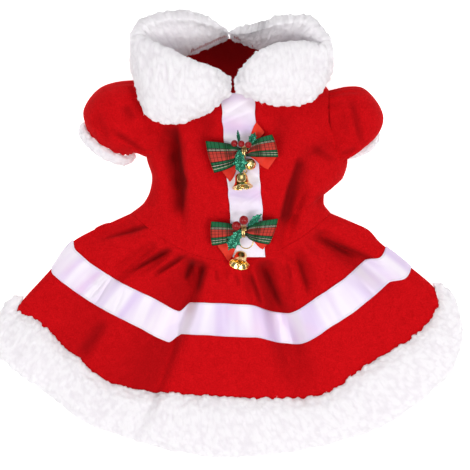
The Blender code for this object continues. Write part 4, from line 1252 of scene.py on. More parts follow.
@dataclass
class Skirt(Worn):
    """The fleece skirt, gathered at the waist and open at the hem, and what is sewn along it."""

    bodice: Bodice
    hem_reach: float = 0.2580
    fan_x: float = -0.0167
    fan_y: float = 0.0760
    rise: float = 0.0360
    hem_rise: float = 0.0190
    hem_edge_height: float = 0.0110
    stripe_width: float = 0.0250
    stripe_lift: float = 0.0003
    satin: float = 0.0009
    trim_width: float = 0.0420
    underlap: float = 0.0120
    pile: float = 0.0080
    pile_back: float = 0.0054
    wall: float = 0.0020
    seam_gap: float = 0.0004
    least_hollow: float = 0.0055
    full_crease: float = 0.0042
    full_fold: float = 0.0300
    waist_bearings: tuple[float, float] = (-46.5, 56.5)
    rows: tuple[SkirtRow, ...] = table(SkirtRow, [
        (-50.5, 0.801, 0.390, 0.38), (-48.4, 0.887, 0.354, 0.62), (-44.0, 0.906, 0.330, 0.87),
        (-34.0, 0.904, 0.306, 0.79), (-24.0, 0.922, 0.285, 0.75), (-14.5, 0.926, 0.300, 0.84),
        (-11.5, 0.930, 0.238, 0.89), (0.0, 0.946, 0.215, 1.00), (10.0, 0.955, 0.227, 0.94),
        (18.0, 0.966, 0.285, 0.85), (23.0, 0.976, 0.312, 0.82), (33.0, 0.993, 0.288, 1.00),
        (44.0, 0.990, 0.291, 0.86), (50.0, 0.960, 0.310, 0.68), (53.5, 0.925, 0.385, 0.52),
        (57.0, 0.848, 0.436, 0.38),
    ])
    sides: tuple[SideRow, ...] = table(SideRow, [
        (0.00, 0.000, 0.000), (0.15, 0.015, 0.011), (0.27, 0.028, 0.018), (0.39, 0.035, 0.005),
        (0.60, 0.010, -0.005), (0.80, -0.008, -0.015), (0.95, -0.020, -0.026), (1.10, -0.020, -0.026),
    ])
    folds: tuple[Dent, ...] = table(Dent, [
        (-8.5, -20.0, -0.05, 1.40, 10.0, 2.4, 0.36), (-39.0, -28.0, 0.30, 1.40, 5.5, 6.0, 0.15),
        (20.4, 18.5, -0.05, 0.86, 3.2, 4.2, 0.38), (46.5, 51.5, -0.05, 0.62, 3.0, 2.6, 0.26),
        (-43.0, -52.0, -0.04, 0.42, 2.2, 2.6, 0.20), (-31.5, -36.5, 0.00, 0.44, 2.2, 2.2, 0.19),
        (-23.5, -31.5, -0.04, 0.26, 2.0, 2.0, 0.17), (-15.5, -10.0, -0.02, 0.20, 1.8, 1.8, 0.14),
        (1.8, 1.6, -0.04, 0.14, 2.0, 2.0, 0.10), (11.8, 13.8, -0.02, 0.30, 2.0, 2.0, 0.13),
        (27.0, 25.0, 0.00, 0.32, 2.0, 2.0, 0.12), (37.5, 31.0, -0.02, 0.36, 2.2, 2.2, 0.13),
        (-38.0, -44.0, -0.04, 0.16, 2.0, 2.0, 0.10), (33.0, 34.0, -0.04, 0.14, 1.9, 1.9, 0.08),
        (41.5, 43.0, -0.04, 0.20, 2.0, 2.0, 0.10),
    ])
    creases: tuple[Crease, ...] = table(Crease, [
        (-98, -2, -52, 10, 2.6, 1.3, 4.18), (-76, -26, -50, -12, 2.4, 1.1, 3.80),
        (-60, -30, -38, -16, 2.2, 1.2, 3.61), (-32, -20, -37, -33, 1.8, 1.8, 3.04),
        (-24, -24, -28, -42, 1.6, 2.2, 3.04), (11, -30, 20, -52, 2.0, 1.8, 3.04),
        (22, -26, 34, -54, 2.2, 2.0, 3.04), (48, -18, 56, -42, 2.4, 1.5, 3.23),
        (66, -2, 88, -14, 1.6, 2.6, 3.23), (78, -8, 112, -22, 2.0, 3.0, 3.04),
        (40, -22, 42, -34, 1.6, 1.6, 2.09), (-14, -27, -13, -36, 1.5, 1.5, 1.71),
        (0, -30, 3, -38, 1.5, 1.5, 1.52), (-100, -66, -118, -92, 5.0, 5.0, 2.28),
    ])

    def __post_init__(self) -> None:
        """Reads the tables' columns."""
        self.hem = Column(self.rows, "hem", "bearing")
        self.stripe = Column(self.rows, "stripe", "bearing")
        self.trim = Column(self.rows, "trim", "bearing")
        self.left_side = Column(self.sides, "left")
        self.right_side = Column(self.sides, "right")
        self.back_height = self.stripe_lift + self.pile_back

    def rib(self, across: Array, front: Array) -> tuple[Array, Array, Array]:
        """The rib at a place round the skirt.

        Args:
            across: From -1 at the left edge to 1 at the right one.
            front: Whether it is on the front.

        Returns:
            Its waist points, its hem points in plan, and its bearing at the hem.
        """
        bearing = mix(self.rows[0].bearing, self.rows[-1].bearing, (across + 1) / 2)
        reach = self.hem(bearing) * self.hem_reach
        waist = self.bodice.point(across, front, np.ones(np.shape(across)), 0.0, fine=False)
        turn = np.radians(bearing)
        hem = stack(self.fan_x + reach * np.sin(turn), self.fan_y - reach * np.cos(turn), 0.0)
        return waist, hem, bearing

    def point(self, across: Array, front: Array, along: Array, outset: Any = 0.0) -> Array:
        """Points of the skirt.

        Args:
            across: From -1 at the left edge to 1 at the right one.
            front: Whether each point is on the front.
            along: From 0 at the waist to 1 at the hem.
            outset: How far out of the cloth.

        Returns:
            The points.
        """
        waist, hem, bearing = self.rib(across, front)
        rib = hem[:, :2] - waist[:, :2]
        length = np.hypot(rib[:, 0], rib[:, 1])
        way = rib / length[:, None]
        place = waist[:, :2] + way * self.seam_gap + rib * ((1 - self.seam_gap / length) * along)[:, None]
        side = np.where(across < 0, self.left_side(along), self.right_side(along)) * self.hem_reach
        sideways = side * np.abs(across) ** 6 + outset * smoothstep(0.9, 1.0, np.abs(across))
        normal = np.stack([-way[:, 1], way[:, 0]], axis=1)
        place = place + normal * (sideways * np.where(across > 0, 1, -1))[:, None]
        rim = self.bodice.rows[-1].edge * self.bodice.edge_height
        edge = mix(rim, self.hem_edge_height, smoothstep(0, 1, along))
        back = self.back_height * smoothstep(0, 0.6, along)
        full = fullness(across, 8)
        low = np.minimum(1.0, 1.3 * fullness(across, 6))
        low = mix(low, np.minimum(1.0, 1.3 * full), smoothstep(0, 0.2, along))
        back_z = edge - (edge - back) * low - outset * full
        height = mix(waist[:, 2], self.hem_rise, 1 - np.maximum(0.0, 1 - along) ** 1.6)
        shape = mix(1.0, full, smoothstep(0, 0.25, along))
        z = mix(waist[:, 2], edge + (height - edge) * shape, smoothstep(0, 0.2, along))
        fold_bearing = mix(mix(*self.waist_bearings, (across + 1) / 2), bearing, along)
        deep = self.rise * dented(self.folds, fold_bearing, along)
        deep += pressed(self.creases, place[:, 0], place[:, 1])
        z = z - deep * smoothstep(0, 0.06, along) * full
        floor = back + 2 * self.wall + self.least_hollow
        z = np.maximum(z, np.minimum(floor, edge + (floor - edge) * full))
        lift = 0.0005 * drift(stack(place[:, 0], place[:, 1], 0.0), 0.024, 5)
        lift += 0.00016 * drift(stack(place[:, 0], place[:, 1], 0.0), 0.006, 6)
        z = z + lift * smoothstep(0, 0.1, along) * full
        return stack(place[:, 0], place[:, 1], np.where(front, z + outset * full, back_z))

    def level(self, across: Array, front: Array, which: str) -> Array:
        """The share of each rib at which a part of the skirt lies.

        Args:
            across: The ribs' places.
            front: Whether they are on the front.
            which: "stripe" or "stripe_end" for the satin's edges, "trim" for the plush's top, "under" for the
                fleece's end below the plush.

        Returns:
            The shares.
        """
        waist, hem, bearing = self.rib(across, front)
        length = np.hypot(hem[:, 0] - waist[:, 0], hem[:, 1] - waist[:, 1])
        start = self.stripe(bearing)
        if which == "stripe":
            return start
        if which == "stripe_end":
            return start + self.stripe_width / length
        trim = 1 - self.trim(bearing) * self.trim_width / length
        return trim if which == "trim" else np.minimum(trim + self.underlap / length, 0.98)

    def around(self, share: Array) -> tuple[Array, Array]:
        """The across shares at a share of the way round, and whether each is on the front."""
        return self.bodice.around(share, 0.74, 0.62)

    def build_fleece(self) -> bpy.types.Object:
        """Builds the gathered fleece.

        Returns:
            The piece.
        """
        def lay(u: Array, v: Array) -> Array:
            """The fleece's points, closer together at the gathers, and how much painted shade each takes in
            the folds.
            """
            across, front = self.around(u)
            along = self.level(across, front, "under") * mix(v, v * v, 0.35) - 0.004
            points = self.point(across, front, along)
            waist_bearing = mix(*self.waist_bearings, (across + 1) / 2)
            bearing = mix(waist_bearing, self.rib(across, front)[2], along)
            # The fourth column is painted shade, by how deep in the creases and folds each front point lies.
            deep = pressed(self.creases, points[:, 0], points[:, 1]) / self.full_crease
            deep += self.rise * dented(self.folds, bearing, along) / self.full_fold
            return np.column_stack([points, np.where(front, np.clip(deep, 0, 1) * fullness(across, 8), 0.0)])

        bm = sheet_grid(400, 96, lay, (0.62, 0.19), "out")
        nodes = ["skirt_front", "skirt_back"]
        piece = finish_piece("skirt_fleece", bm, self.wardrobe.fleece, nodes, self.wall)
        return piece

    def build_stripe(self) -> list[bpy.types.Object]:
        """Builds the satin stripe, puckered where it is eased round the fleece, and its edges' stitches.

        Returns:
            The ribbon and its stitches.
        """
        puckers = table(Crease, [
            (-97, -32, -112, -50, 0.9, 0.7, 1.12), (-94, -33, -106, -52, 0.8, 1.0, 0.98),
            (-99, -30, -118, -46, 0.7, 0.9, 0.83), (-84, -41, -92, -60, 1.4, 1.2, 0.68),
            (36, -60, 32, -86, 1.1, 1.5, 0.90), (40, -62, 44, -84, 0.9, 1.2, 0.68),
            (-8, -52, -5, -76, 2.6, 2.6, 0.52), (96, -36, 114, -54, 1.6, 2.2, 0.60),
            (70, -50, 82, -70, 2.2, 2.2, 0.60), (-128, -6, -140, -26, 1.8, 1.8, 0.60),
        ])

        def lay(u: Array, v: Array) -> Array:
            """The ribbon's points, with edges that waver a little."""
            across, front = self.around(u)
            start, end = (self.level(across, front, which) for which in ("stripe", "stripe_end"))
            wave = 0.0016 * ripple(u * 60, 8) * (2 * v - 1)
            body = 0.00035 * np.sin(pi * v)
            outset = self.stripe_lift + self.satin + body
            points = self.point(across, front, mix(start, end, v) + wave, outset)
            sunk = pressed(puckers, points[:, 0], points[:, 1]) * 0.9
            points[:, 2] -= np.where(front, sunk - 0.0004, 0.0)
            return points

        bm = sheet_grid(560, 22, lay, (0.56, self.stripe_width), "out")
        piece = finish_piece("stripe_satin", bm, self.wardrobe.satin, ["stripe_ribbon"], self.satin * 0.55)
        around = np.linspace(0.012, 0.728, 190)
        edges, half = (0 * around + 0.06, 0 * around + 0.94), 0.0012
        first = np.concatenate([lay(around - half, edge) for edge in edges])
        last = np.concatenate([lay(around + half, edge) for edge in edges])
        spots = (first + last) / 2 + np.array((0.0, 0.0, 0.0003))
        sewing = Stitching(0.00020, 0.0018)
        return [piece, sewing.sew("stripe_stitches", spots, last - first, self.wardrobe.white_thread)]

    def build_trim(self) -> list[bpy.types.Object]:
        """Builds the plush band round the hem, and its curls.

        Returns:
            The band and its curls.
        """
        profile = np.array([
            (-0.10, 0.30), (0.02, 0.62), (0.22, 0.96), (0.60, 1.0), (0.88, 0.86), (1.01, 0.40),
            (0.97, 0.02), (0.75, 0.0), (0.45, 0.0), (0.12, 0.0), (-0.10, 0.30),
        ])

        def lay(u: Array, v: Array) -> Array:
            """The band's points: u round the skirt and v round the band's own section."""
            across, front = self.around(u)
            trim = self.level(across, front, "trim")
            spot = curve_through(profile, v)
            edge = 0.010 * ripple(u * 90, 9) * smoothstep(0.8, 1.0, spot[:, 0])
            share = mix(trim, 1.0, spot[:, 0]) + edge
            top = 0.012 * ripple(u * 110, 10)
            top *= 1 - smoothstep(0.0, 0.3, spot[:, 0])
            thick = np.where(front, self.pile, self.pile_back)
            swell = 1 + 0.12 * drift(stack(u * 44, spot[:, 0] * 2, 0 * u), 1.0, 11)
            outset = self.stripe_lift + thick * np.clip(spot[:, 1] * swell - 0.10, 0.0, 1.05)
            return self.point(across, front, share + top, outset)

        bm = sheet_grid(620, 60, lay, (0.84, 0.09), "out")
        self.wardrobe.pile.raise_lumps(bm, 0.75)
        piece = finish_piece("hem_plush", bm, self.wardrobe.plush, ["hem_trim"], sharp=180)
        return [piece, self.curls(piece, "hem_curls", 2600)]


class CollarRow(NamedTuple):
    """A station of a collar: seam, roll and edge as shares of the half chest, heights of the chest rise."""

    seam_x: float
    seam_y: float
    roll_x: float
    roll_y: float
    edge_x: float
    edge_y: float
    seam_z: float
    roll_z: float
    edge_z: float
    fill: float


class NeckSeam(NamedTuple):
    """Where the neck's overlock stitches run: its ends in plan, how each stitch leans, and their number."""

    start: tuple[float, float]
    end: tuple[float, float]
    lean: tuple[float, float]
    stitches: int


NECK_SEAMS = {
    "left": NeckSeam((-0.0335, 0.1387), (-0.0070, 0.1502), (0.0010, 0.0030), 19),
    "right": NeckSeam((0.0000, 0.1492), (0.0150, 0.1418), (-0.0008, 0.0030), 12),
}


@dataclass
class Collar(Worn):
    """One half of the turned-down plush collar, from the front middle round the neck's side to the back."""

    bodice: Bodice
    side: str
    rows: tuple[CollarRow, ...]
    pile_depth: float = 0.0095

    def line(self, row: CollarRow) -> list[tuple[float, ...]]:
        """The middle of the collar's cloth at a station.

        Args:
            row: The station.

        Returns:
            Five points: the seam, the stand, the roll, the fall and the edge.
        """
        neck_y = self.bodice.waist_y + self.bodice.side_length
        wide, tall = self.bodice.half_chest, self.bodice.chest_rise
        seam = np.array((row.seam_x * wide, neck_y + row.seam_y * wide, row.seam_z * tall))
        roll = np.array((row.roll_x * wide, neck_y + row.roll_y * wide, row.roll_z * tall))
        edge = np.array((row.edge_x * wide, neck_y + row.edge_y * wide, row.edge_z * tall))
        stand = mix(seam, roll, 0.55) + (0, 0, 0.10 * (roll[2] - seam[2]))
        fall = mix(roll, edge, 0.5) + (0, 0, 0.28 * (roll[2] - edge[2]))
        return [seam, stand, roll, fall, edge]

    def lay(self, u: Array, v: Array) -> Array:
        """Points of the collar.

        Args:
            u: From 0 at the front middle to 1 at the back middle.
            v: Round the collar's section, from the edge over the outside and back inside.

        Returns:
            The points.
        """
        table_at = curve_through(np.array([self.line(row) for row in self.rows]), u)
        station = np.arange(len(u))
        fill = curve_through(np.array([row.fill for row in self.rows]), u)
        angle = 2 * pi * v
        reach = (1 + np.cos(angle)) / 2

        def on_line(share: Array) -> Array:
            """The place on each station's line at a share of the way to the edge."""
            return curve(lambda k: table_at[station, k], table_at.shape[1] - 1, np.clip(share, 0, 1))

        middle = on_line(reach)
        ahead = on_line(reach + 0.03) - on_line(reach - 0.03)
        rolls = np.array([self.line(row)[2] for row in self.rows])
        way = curve_through(rolls, np.minimum(u + 0.02, 1)) - curve_through(rolls, np.maximum(u - 0.02, 0))
        out = unit(np.cross(ahead, way))
        out *= 1 if self.side == "right" else -1
        swell = mix(0.55, 1.0, smoothstep(0.0, 0.35, reach)) * mix(1.0, 0.80, smoothstep(0.8, 1.0, reach))
        ends = rounded(u, 0.94)
        round_section = np.sign(np.sin(angle)) * np.abs(np.sin(angle)) ** 0.55
        half = self.pile_depth * fill * swell / 2
        waver = 0.0008 * ripple(u * 26, 12) * smoothstep(0.8, 1.0, reach)
        return middle + out * (half * round_section * ends)[:, None] + unit(ahead) * waver[:, None]

    def overlock(self, bm: bmesh.types.BMesh) -> bpy.types.Object:
        """Sews the red overlock stitches along the seam at the back of the neck.

        Args:
            bm: The collar's mesh.

        Returns:
            The stitches.
        """
        seam = NECK_SEAMS[self.side]
        down, lean = Vector((0, 0, -1)), seam.lean
        tree = BVHTree.FromBMesh(bm)
        spots, ways = [], []
        for share in np.linspace(0, 1, seam.stitches):
            foot = mix(np.array(seam.start), np.array(seam.end), share)
            hits = [tree.ray_cast(Vector((*place, 0.2)), down)[0] for place in (foot, foot + lean)]
            if all(hits) and abs(hits[0].z - hits[1].z) < 0.012:
                spots.append((hits[0] + hits[1]) / 2 + Vector((0, 0, 0.0010)))
                ways.append(Vector((*lean, 0.25 * (hits[1].z - hits[0].z))))
        name = "neck_overlock_" + self.side
        return Stitching(0.00030, 0.0042).sew(name, spots, ways, self.wardrobe.red_thread)

    def build(self) -> list[bpy.types.Object]:
        """Builds the collar half and its curls.

        Returns:
            The collar half and its curls.
        """
        bm = sheet_grid(240, 110, self.lay, (0.30, 0.12), "out")
        self.wardrobe.pile.raise_lumps(bm)
        thread = self.overlock(bm)
        name = "collar_plush_" + self.side
        piece = finish_piece(name, bm, self.wardrobe.plush, ["collar_" + self.side], sharp=180)
        return [piece, self.curls(piece, "collar_curls_" + self.side, 1500), thread]


COLLAR_LEFT = table(CollarRow, [
    (-0.045, -0.29, -0.050, -0.20, -0.050, -0.32, 1.04, 1.17, 1.15, 0.60),
    (-0.13, -0.28, -0.19, -0.12, -0.15, -0.42, 1.02, 1.38, 1.20, 0.85),
    (-0.27, -0.24, -0.36, -0.08, -0.37, -0.57, 1.00, 1.46, 1.19, 1.00),
    (-0.43, -0.18, -0.59, 0.02, -0.64, -0.63, 0.94, 1.42, 1.17, 1.00),
    (-0.55, -0.12, -0.82, 0.12, -0.89, -0.52, 0.84, 1.32, 1.14, 1.00),
    (-0.62, -0.04, -0.96, 0.22, -1.00, -0.14, 0.66, 1.18, 0.86, 1.00),
    (-0.62, 0.02, -0.92, 0.35, -0.96, 0.20, 0.42, 1.06, 0.40, 1.00),
    (-0.52, 0.06, -0.72, 0.43, -0.76, 0.32, 0.20, 0.98, 0.18, 1.00),
    (-0.34, 0.12, -0.46, 0.45, -0.47, 0.36, 0.13, 0.92, 0.14, 1.00),
    (-0.18, 0.19, -0.24, 0.39, -0.25, 0.32, 0.11, 0.78, 0.14, 0.90),
    (-0.070, 0.24, -0.075, 0.30, -0.075, 0.275, 0.10, 0.38, 0.14, 0.60),
])
COLLAR_RIGHT = table(CollarRow, [
    (0.010, -0.29, 0.015, -0.20, 0.010, -0.32, 1.04, 1.17, 1.15, 0.60),
    (0.10, -0.26, 0.12, -0.07, 0.17, -0.37, 1.02, 1.36, 1.20, 0.85),
    (0.23, -0.22, 0.27, 0.05, 0.34, -0.43, 1.00, 1.42, 1.19, 1.00),
    (0.37, -0.16, 0.45, 0.12, 0.57, -0.45, 0.94, 1.40, 1.17, 1.00),
    (0.48, -0.10, 0.65, 0.14, 0.79, -0.37, 0.84, 1.32, 1.14, 1.00),
    (0.55, -0.04, 0.87, 0.13, 0.94, -0.15, 0.66, 1.22, 0.90, 1.00),
    (0.56, 0.02, 0.86, 0.26, 0.90, 0.10, 0.42, 1.12, 0.40, 1.00),
    (0.46, 0.06, 0.68, 0.41, 0.72, 0.28, 0.20, 1.00, 0.18, 1.00),
    (0.30, 0.10, 0.42, 0.40, 0.44, 0.30, 0.13, 0.92, 0.14, 1.00),
    (0.13, 0.17, 0.16, 0.33, 0.17, 0.26, 0.11, 0.76, 0.14, 0.90),
    (-0.042, 0.24, -0.047, 0.30, -0.047, 0.275, 0.10, 0.38, 0.14, 0.60),
])


class SleeveRow(NamedTuple):
    """A ring of a sleeve: its middle, the way that it runs, and its half sizes, as shares of the bodice's."""

    x: float
    y: float
    z: float
    turn_x: float
    turn_y: float
    turn_z: float
    long: float
    tall: float


@dataclass
class Sleeve(Worn):
    """A puffed fleece sleeve with the plush band sewn to its mouth."""

    bodice: Bodice
    side: str
    rows: tuple[SleeveRow, ...]
    creases: tuple[Crease, ...]
    cuff_length: float = 0.0085
    cuff_pile: float = 0.0062
    cuff_inset: float = 0.0018
    seam_gap: float = 0.0004
    wall: float = 0.0020

    def __post_init__(self) -> None:
        """Works out the rings' middles and axes."""
        wide, long, tall = self.bodice.half_chest, self.bodice.side_length, self.bodice.chest_rise
        rings = []
        for row in self.rows:
            centre = (row.x * wide, self.bodice.waist_y + long * (1 - row.y), row.z * tall)
            way = Vector((row.turn_x, row.turn_y, row.turn_z)).normalized()
            long_axis = way.cross(Vector((0, 0, 1))).normalized()
            tall_axis = long_axis.cross(way)
            size = (row.long * long, row.tall * tall, 0.0)
            rings.append((centre, tuple(long_axis), tuple(tall_axis), size))
            self.mouth_way = np.array(way)
        self.rings = np.array(rings)

    def point(self, share: Array, angle: Array, outset: Any = 0.0) -> Array:
        """Points of the sleeve.

        Args:
            share: From 0 at the armhole to 1 at the mouth.
            angle: The turn round the sleeve, in radians.
            outset: How far out of the cloth.

        Returns:
            The points.
        """
        rings = curve_through(self.rings, share)
        centre, long_axis, tall_axis, size = (rings[:, k] for k in range(4))
        flat = np.abs(np.cos(angle)) ** 0.85 * np.sign(np.cos(angle))
        wide = ((size[:, 0] + outset) * flat)[:, None]
        return centre + long_axis * wide + tall_axis * ((size[:, 1] + outset) * np.sin(angle))[:, None]

    def holds(self, spot: Vector) -> bool:
        """Whether a place on the bodice lies inside the armhole.

        Args:
            spot: The place.

        Returns:
            True where the bodice is left open.
        """
        first = self.rings[0] * 0.45 + self.rings[1] * 0.55
        off = np.array(spot) - first[0]
        way = np.cross(first[1], first[2])
        outward = float(off @ np.array((-1.0 if self.side == "left" else 1.0, 0.0, 0.0)))
        reach = (off @ first[1] / first[3][0]) ** 2 + (off @ first[2] / first[3][1]) ** 2
        return outward > -0.006 and reach < 0.66 and abs(float(off @ way)) < 0.03

    def build(self) -> bpy.types.Object:
        """Builds the fleece of the sleeve, eased in at the armhole and the mouth.

        Returns:
            The piece.
        """
        def lay(u: Array, v: Array) -> Array:
            """The sleeve's points: u round it and v from the armhole to the mouth, with painted shade in its
            creases.
            """
            angle = 2 * pi * u
            gather = np.cos(17 * angle + 3 * np.sin(2 * angle))
            ease = 0.0007 * smoothstep(0.78, 1.0, v) + 0.0004 * (1 - smoothstep(0.22, 0.5, v))
            puff = 0.0012 * np.sin(pi * np.clip(v, 0, 1)) ** 2
            points = self.point(v, angle, ease * gather + puff)
            top = smoothstep(-0.1, 0.5, np.sin(angle)) * smoothstep(0.1, 0.3, v)
            top *= 1 - smoothstep(0.9, 1.0, v)
            deep = pressed(self.creases, points[:, 0], points[:, 1]) * top
            points[:, 2] -= deep
            points[:, 2] += (0.0005 * drift(points, 0.018, 14) + 0.00016 * drift(points, 0.006, 15)) * top
            points[:, 2] = np.maximum(points[:, 2], FLOOR_CLEARANCE)
            # The fourth column is painted shade, by how deep in a crease each point lies.
            return np.column_stack([points, np.clip(deep / 0.0030, 0, 1)])

        bm = sheet_grid(150, 64, lay, (0.13, 0.06), "out")
        piece = finish_piece(
            "sleeve_fleece_" + self.side, bm, self.wardrobe.fleece, ["sleeve_" + self.side], self.wall
        )
        return piece

    def build_cuff(self) -> list[bpy.types.Object]:
        """Builds the plush band on the mouth, and its curls.

        Returns:
            The band and its curls.
        """
        profile = np.array([
            (0.02, 0.10), (0.03, 0.70), (0.30, 0.98), (0.72, 0.98), (0.98, 0.66), (0.96, 0.12), (0.60, 0.02),
            (0.30, 0.02), (0.02, 0.10),
        ])

        def lay(u: Array, v: Array) -> Array:
            """The band's points: u round the mouth and v round the band's own section."""
            spot = curve_through(profile, v)
            points = self.point(np.ones(len(u)), 2 * pi * u, spot[:, 1] * self.cuff_pile - self.cuff_inset)
            return points + self.mouth_way * (self.seam_gap + spot[:, 0] * self.cuff_length)[:, None]

        bm = sheet_grid(190, 46, lay, (0.13, 0.03), "out")
        self.wardrobe.pile.raise_lumps(bm, 0.75)
        name = "cuff_plush_" + self.side
        piece = finish_piece(name, bm, self.wardrobe.plush, ["cuff_" + self.side], sharp=180)
        return [piece, self.curls(piece, "cuff_curls_" + self.side, 700)]


SLEEVE_LEFT = table(SleeveRow, [
    (-0.77, 0.391, 0.42, -1.00, 0.00, 0.00, 0.235, 0.318),
    (-0.94, 0.377, 0.46, -0.98, -0.20, 0.00, 0.253, 0.42),
    (-1.13, 0.391, 0.49, -0.85, -0.50, -0.10, 0.253, 0.455),
    (-1.25, 0.450, 0.465, -0.60, -0.70, -0.35, 0.218, 0.40),
    (-1.25, 0.508, 0.45, -0.42, -0.65, -0.60, 0.172, 0.27),
])
SLEEVE_RIGHT = table(SleeveRow, [
    (0.94, 0.424, 0.40, 1.00, 0.00, 0.00, 0.235, 0.284),
    (1.08, 0.415, 0.46, 0.97, -0.15, -0.12, 0.250, 0.41),
    (1.18, 0.420, 0.48, 0.88, -0.32, -0.34, 0.240, 0.43),
    (1.24, 0.485, 0.44, 0.58, -0.58, -0.56, 0.205, 0.37),
    (1.18, 0.495, 0.40, 0.15, -0.46, -0.87, 0.133, 0.227),
])
CREASES_LEFT = table(Crease, [
    (-92, 78, -70, 64, 2.4, 1.6, 1.7), (-84, 98, -76, 88, 3.5, 4.5, 1.4),
    (-104, 92, -96, 72, 3.0, 3.0, 0.8),
])
CREASES_RIGHT = table(Crease, [
    (88, 102, 96, 70, 3.2, 2.4, 1.6), (80, 96, 84, 76, 3.0, 3.0, 0.9), (92, 66, 80, 60, 2.0, 2.4, 1.2),
])


@dataclass
class Placket(Worn):
    """The satin ribbon sewn down the front middle."""

    bodice: Bodice
    width: float = 0.0250
    gap: float = 0.0006
    satin: float = 0.0009
    top_y: float = 0.1075
    low_y: float = -0.0168
    top_x: float = 0.0016
    low_x: float = 0.0107
    creases: tuple[Crease, ...] = table(Crease, [
        (-9, 90, 13, 103, 1.6, 3.0, 0.80), (-10, 84, 12, 93, 1.2, 2.2, 0.55),
        (-4, 44, 17, 54, 2.0, 1.2, 0.70), (-3, 36, 18, 42, 1.6, 1.6, 0.60),
        (-4, 30, 10, 26, 1.4, 2.0, 0.55), (6, 22, 20, 32, 1.2, 1.8, 0.60), (-2, 14, 20, 18, 1.4, 1.4, 0.50),
        (12, 6, 21, -12, 1.4, 1.6, 0.55), (2, -6, 14, -14, 1.6, 1.2, 0.45),
    ])

    def spot(self, u: Array, v: Array, lift: float = 0.0) -> Array:
        """Points of the ribbon.

        Args:
            u: From 0 at its left edge to 1 at its right one.
            v: From 0 at its top to 1 at its low end.
            lift: How far over the ribbon's own upper side.

        Returns:
            The points.
        """
        y = mix(self.top_y, self.low_y, v)
        edge = 0.0009 * drift(stack(v * 16, np.round(u) * 3, 0 * u), 1.0, 21) * np.abs(2 * u - 1)
        x = mix(self.top_x, self.low_x, v) + self.width * (u - 0.5) + edge
        z = self.bodice.height(x, y, self.gap + self.satin + lift)
        swell = 0.0008 * drift(stack(x * 0.6, y + 0.5 * x, 0 * x), 0.008, 22) + 0.0009 * np.sin(pi * u)
        return stack(x, y, z + np.maximum(swell - pressed(self.creases, x, y) * 1.1, -0.0003))

    def build(self) -> list[bpy.types.Object]:
        """Builds the ribbon with the stitching on its edges and low end.

        Returns:
            The ribbon and its stitches.
        """
        bm = sheet_grid(44, 210, lambda u, v: self.spot(u, 1 - v), (self.width, 0.126), "up")
        for face in bm.faces:
            for loop in face.loops:
                at = loop[bm.loops.layers.uv["cloth"]].uv
                at.x, at.y = at.y, at.x
        name = "placket_satin"
        piece = finish_piece(name, bm, self.wardrobe.satin, ["placket_ribbon"], self.satin * 0.55)
        along = np.linspace(0.02, 0.985, 40)
        ends = [np.stack([np.full(40, side), along], axis=1) for side in (0.06, 0.94)]
        ends.append(np.stack([np.linspace(0.08, 0.92, 9), np.full(9, 0.985)], axis=1))
        rows = np.concatenate(ends)
        spots = self.spot(rows[:, 0], rows[:, 1], 0.0001)
        ways = np.concatenate([np.tile((0.07, -1.0, 0.0), (80, 1)), np.tile((1.0, 0.0, 0.0), (9, 1))])
        sewn = Stitching(length=0.0018, radius=0.00016).sew(
            "placket_stitches", spots, ways, self.wardrobe.white_thread
        )
        return [piece, sewn]


def cord(
    path: Array, radius: float, steps: int, sides: int, guide: Sequence[float], closed: bool
) -> bmesh.types.BMesh:
    """Makes a round wire along a path.

    Args:
        path: The points it follows, evenly spaced.
        radius: Its radius.
        steps: How many pieces along it.
        sides: How many sides round it.
        guide: A direction that the path never runs in.
        closed: Whether its ends meet.

    Returns:
        The wire, with rounded ends where it is open.
    """
    def lay(u: Array, v: Array) -> Array:
        """The wire's points: u along it and v round it."""
        middle = curve_through(path, u)
        step = 0.5 / steps
        ahead = curve_through(path, np.minimum(u + step, 1)) - curve_through(path, np.maximum(u - step, 0))
        if closed:
            rim = (u < step) | (u > 1 - step)
            ahead[rim] = (path[1] - path[-2])[None, :]
        side = unit(np.cross(ahead, guide))
        other = unit(np.cross(side, ahead))
        taper = np.full(len(u), radius) if closed else radius * rounded(u, 0.96)
        turn = 2 * pi * v
        ring = side * np.cos(turn)[:, None] + other * np.sin(turn)[:, None]
        return middle + ring * taper[:, None]

    return sheet_grid(steps, sides, lay, (0.05, 0.004), "out")


class LoopRow(NamedTuple):
    """A loop of a bow: its far edge's ends, as shares of the bow's reach, and how much higher one is."""

    name: str
    top_x: float
    top_y: float
    low_x: float
    low_y: float
    lift: float


class TailRow(NamedTuple):
    """A tail of a bow: its tip and its half width, as shares of the bow's reach."""

    name: str
    tip_x: float
    tip_y: float
    half_width: float


class LeafRow(NamedTuple):
    """A holly leaf: its root, the bearing it points in, and its sizes as shares of a whole leaf's."""

    name: str
    root_x: float
    root_y: float
    bearing: float
    length: float
    width: float
    level: float
    droop: float


class BerryRow(NamedTuple):
    """A berry: its place as shares of the bow's reach, and its height as a share of the leaves'."""

    name: str
    x: float
    y: float
    level: float


@dataclass(frozen=True)
class BowPlan:
    """What one bow is made of."""

    prefix: str
    knot: tuple[float, float]
    loops: tuple[LoopRow, ...]
    tails: tuple[TailRow, ...]
    leaves: tuple[LeafRow, ...]
    berries: tuple[BerryRow, ...]
    berry_radius: float


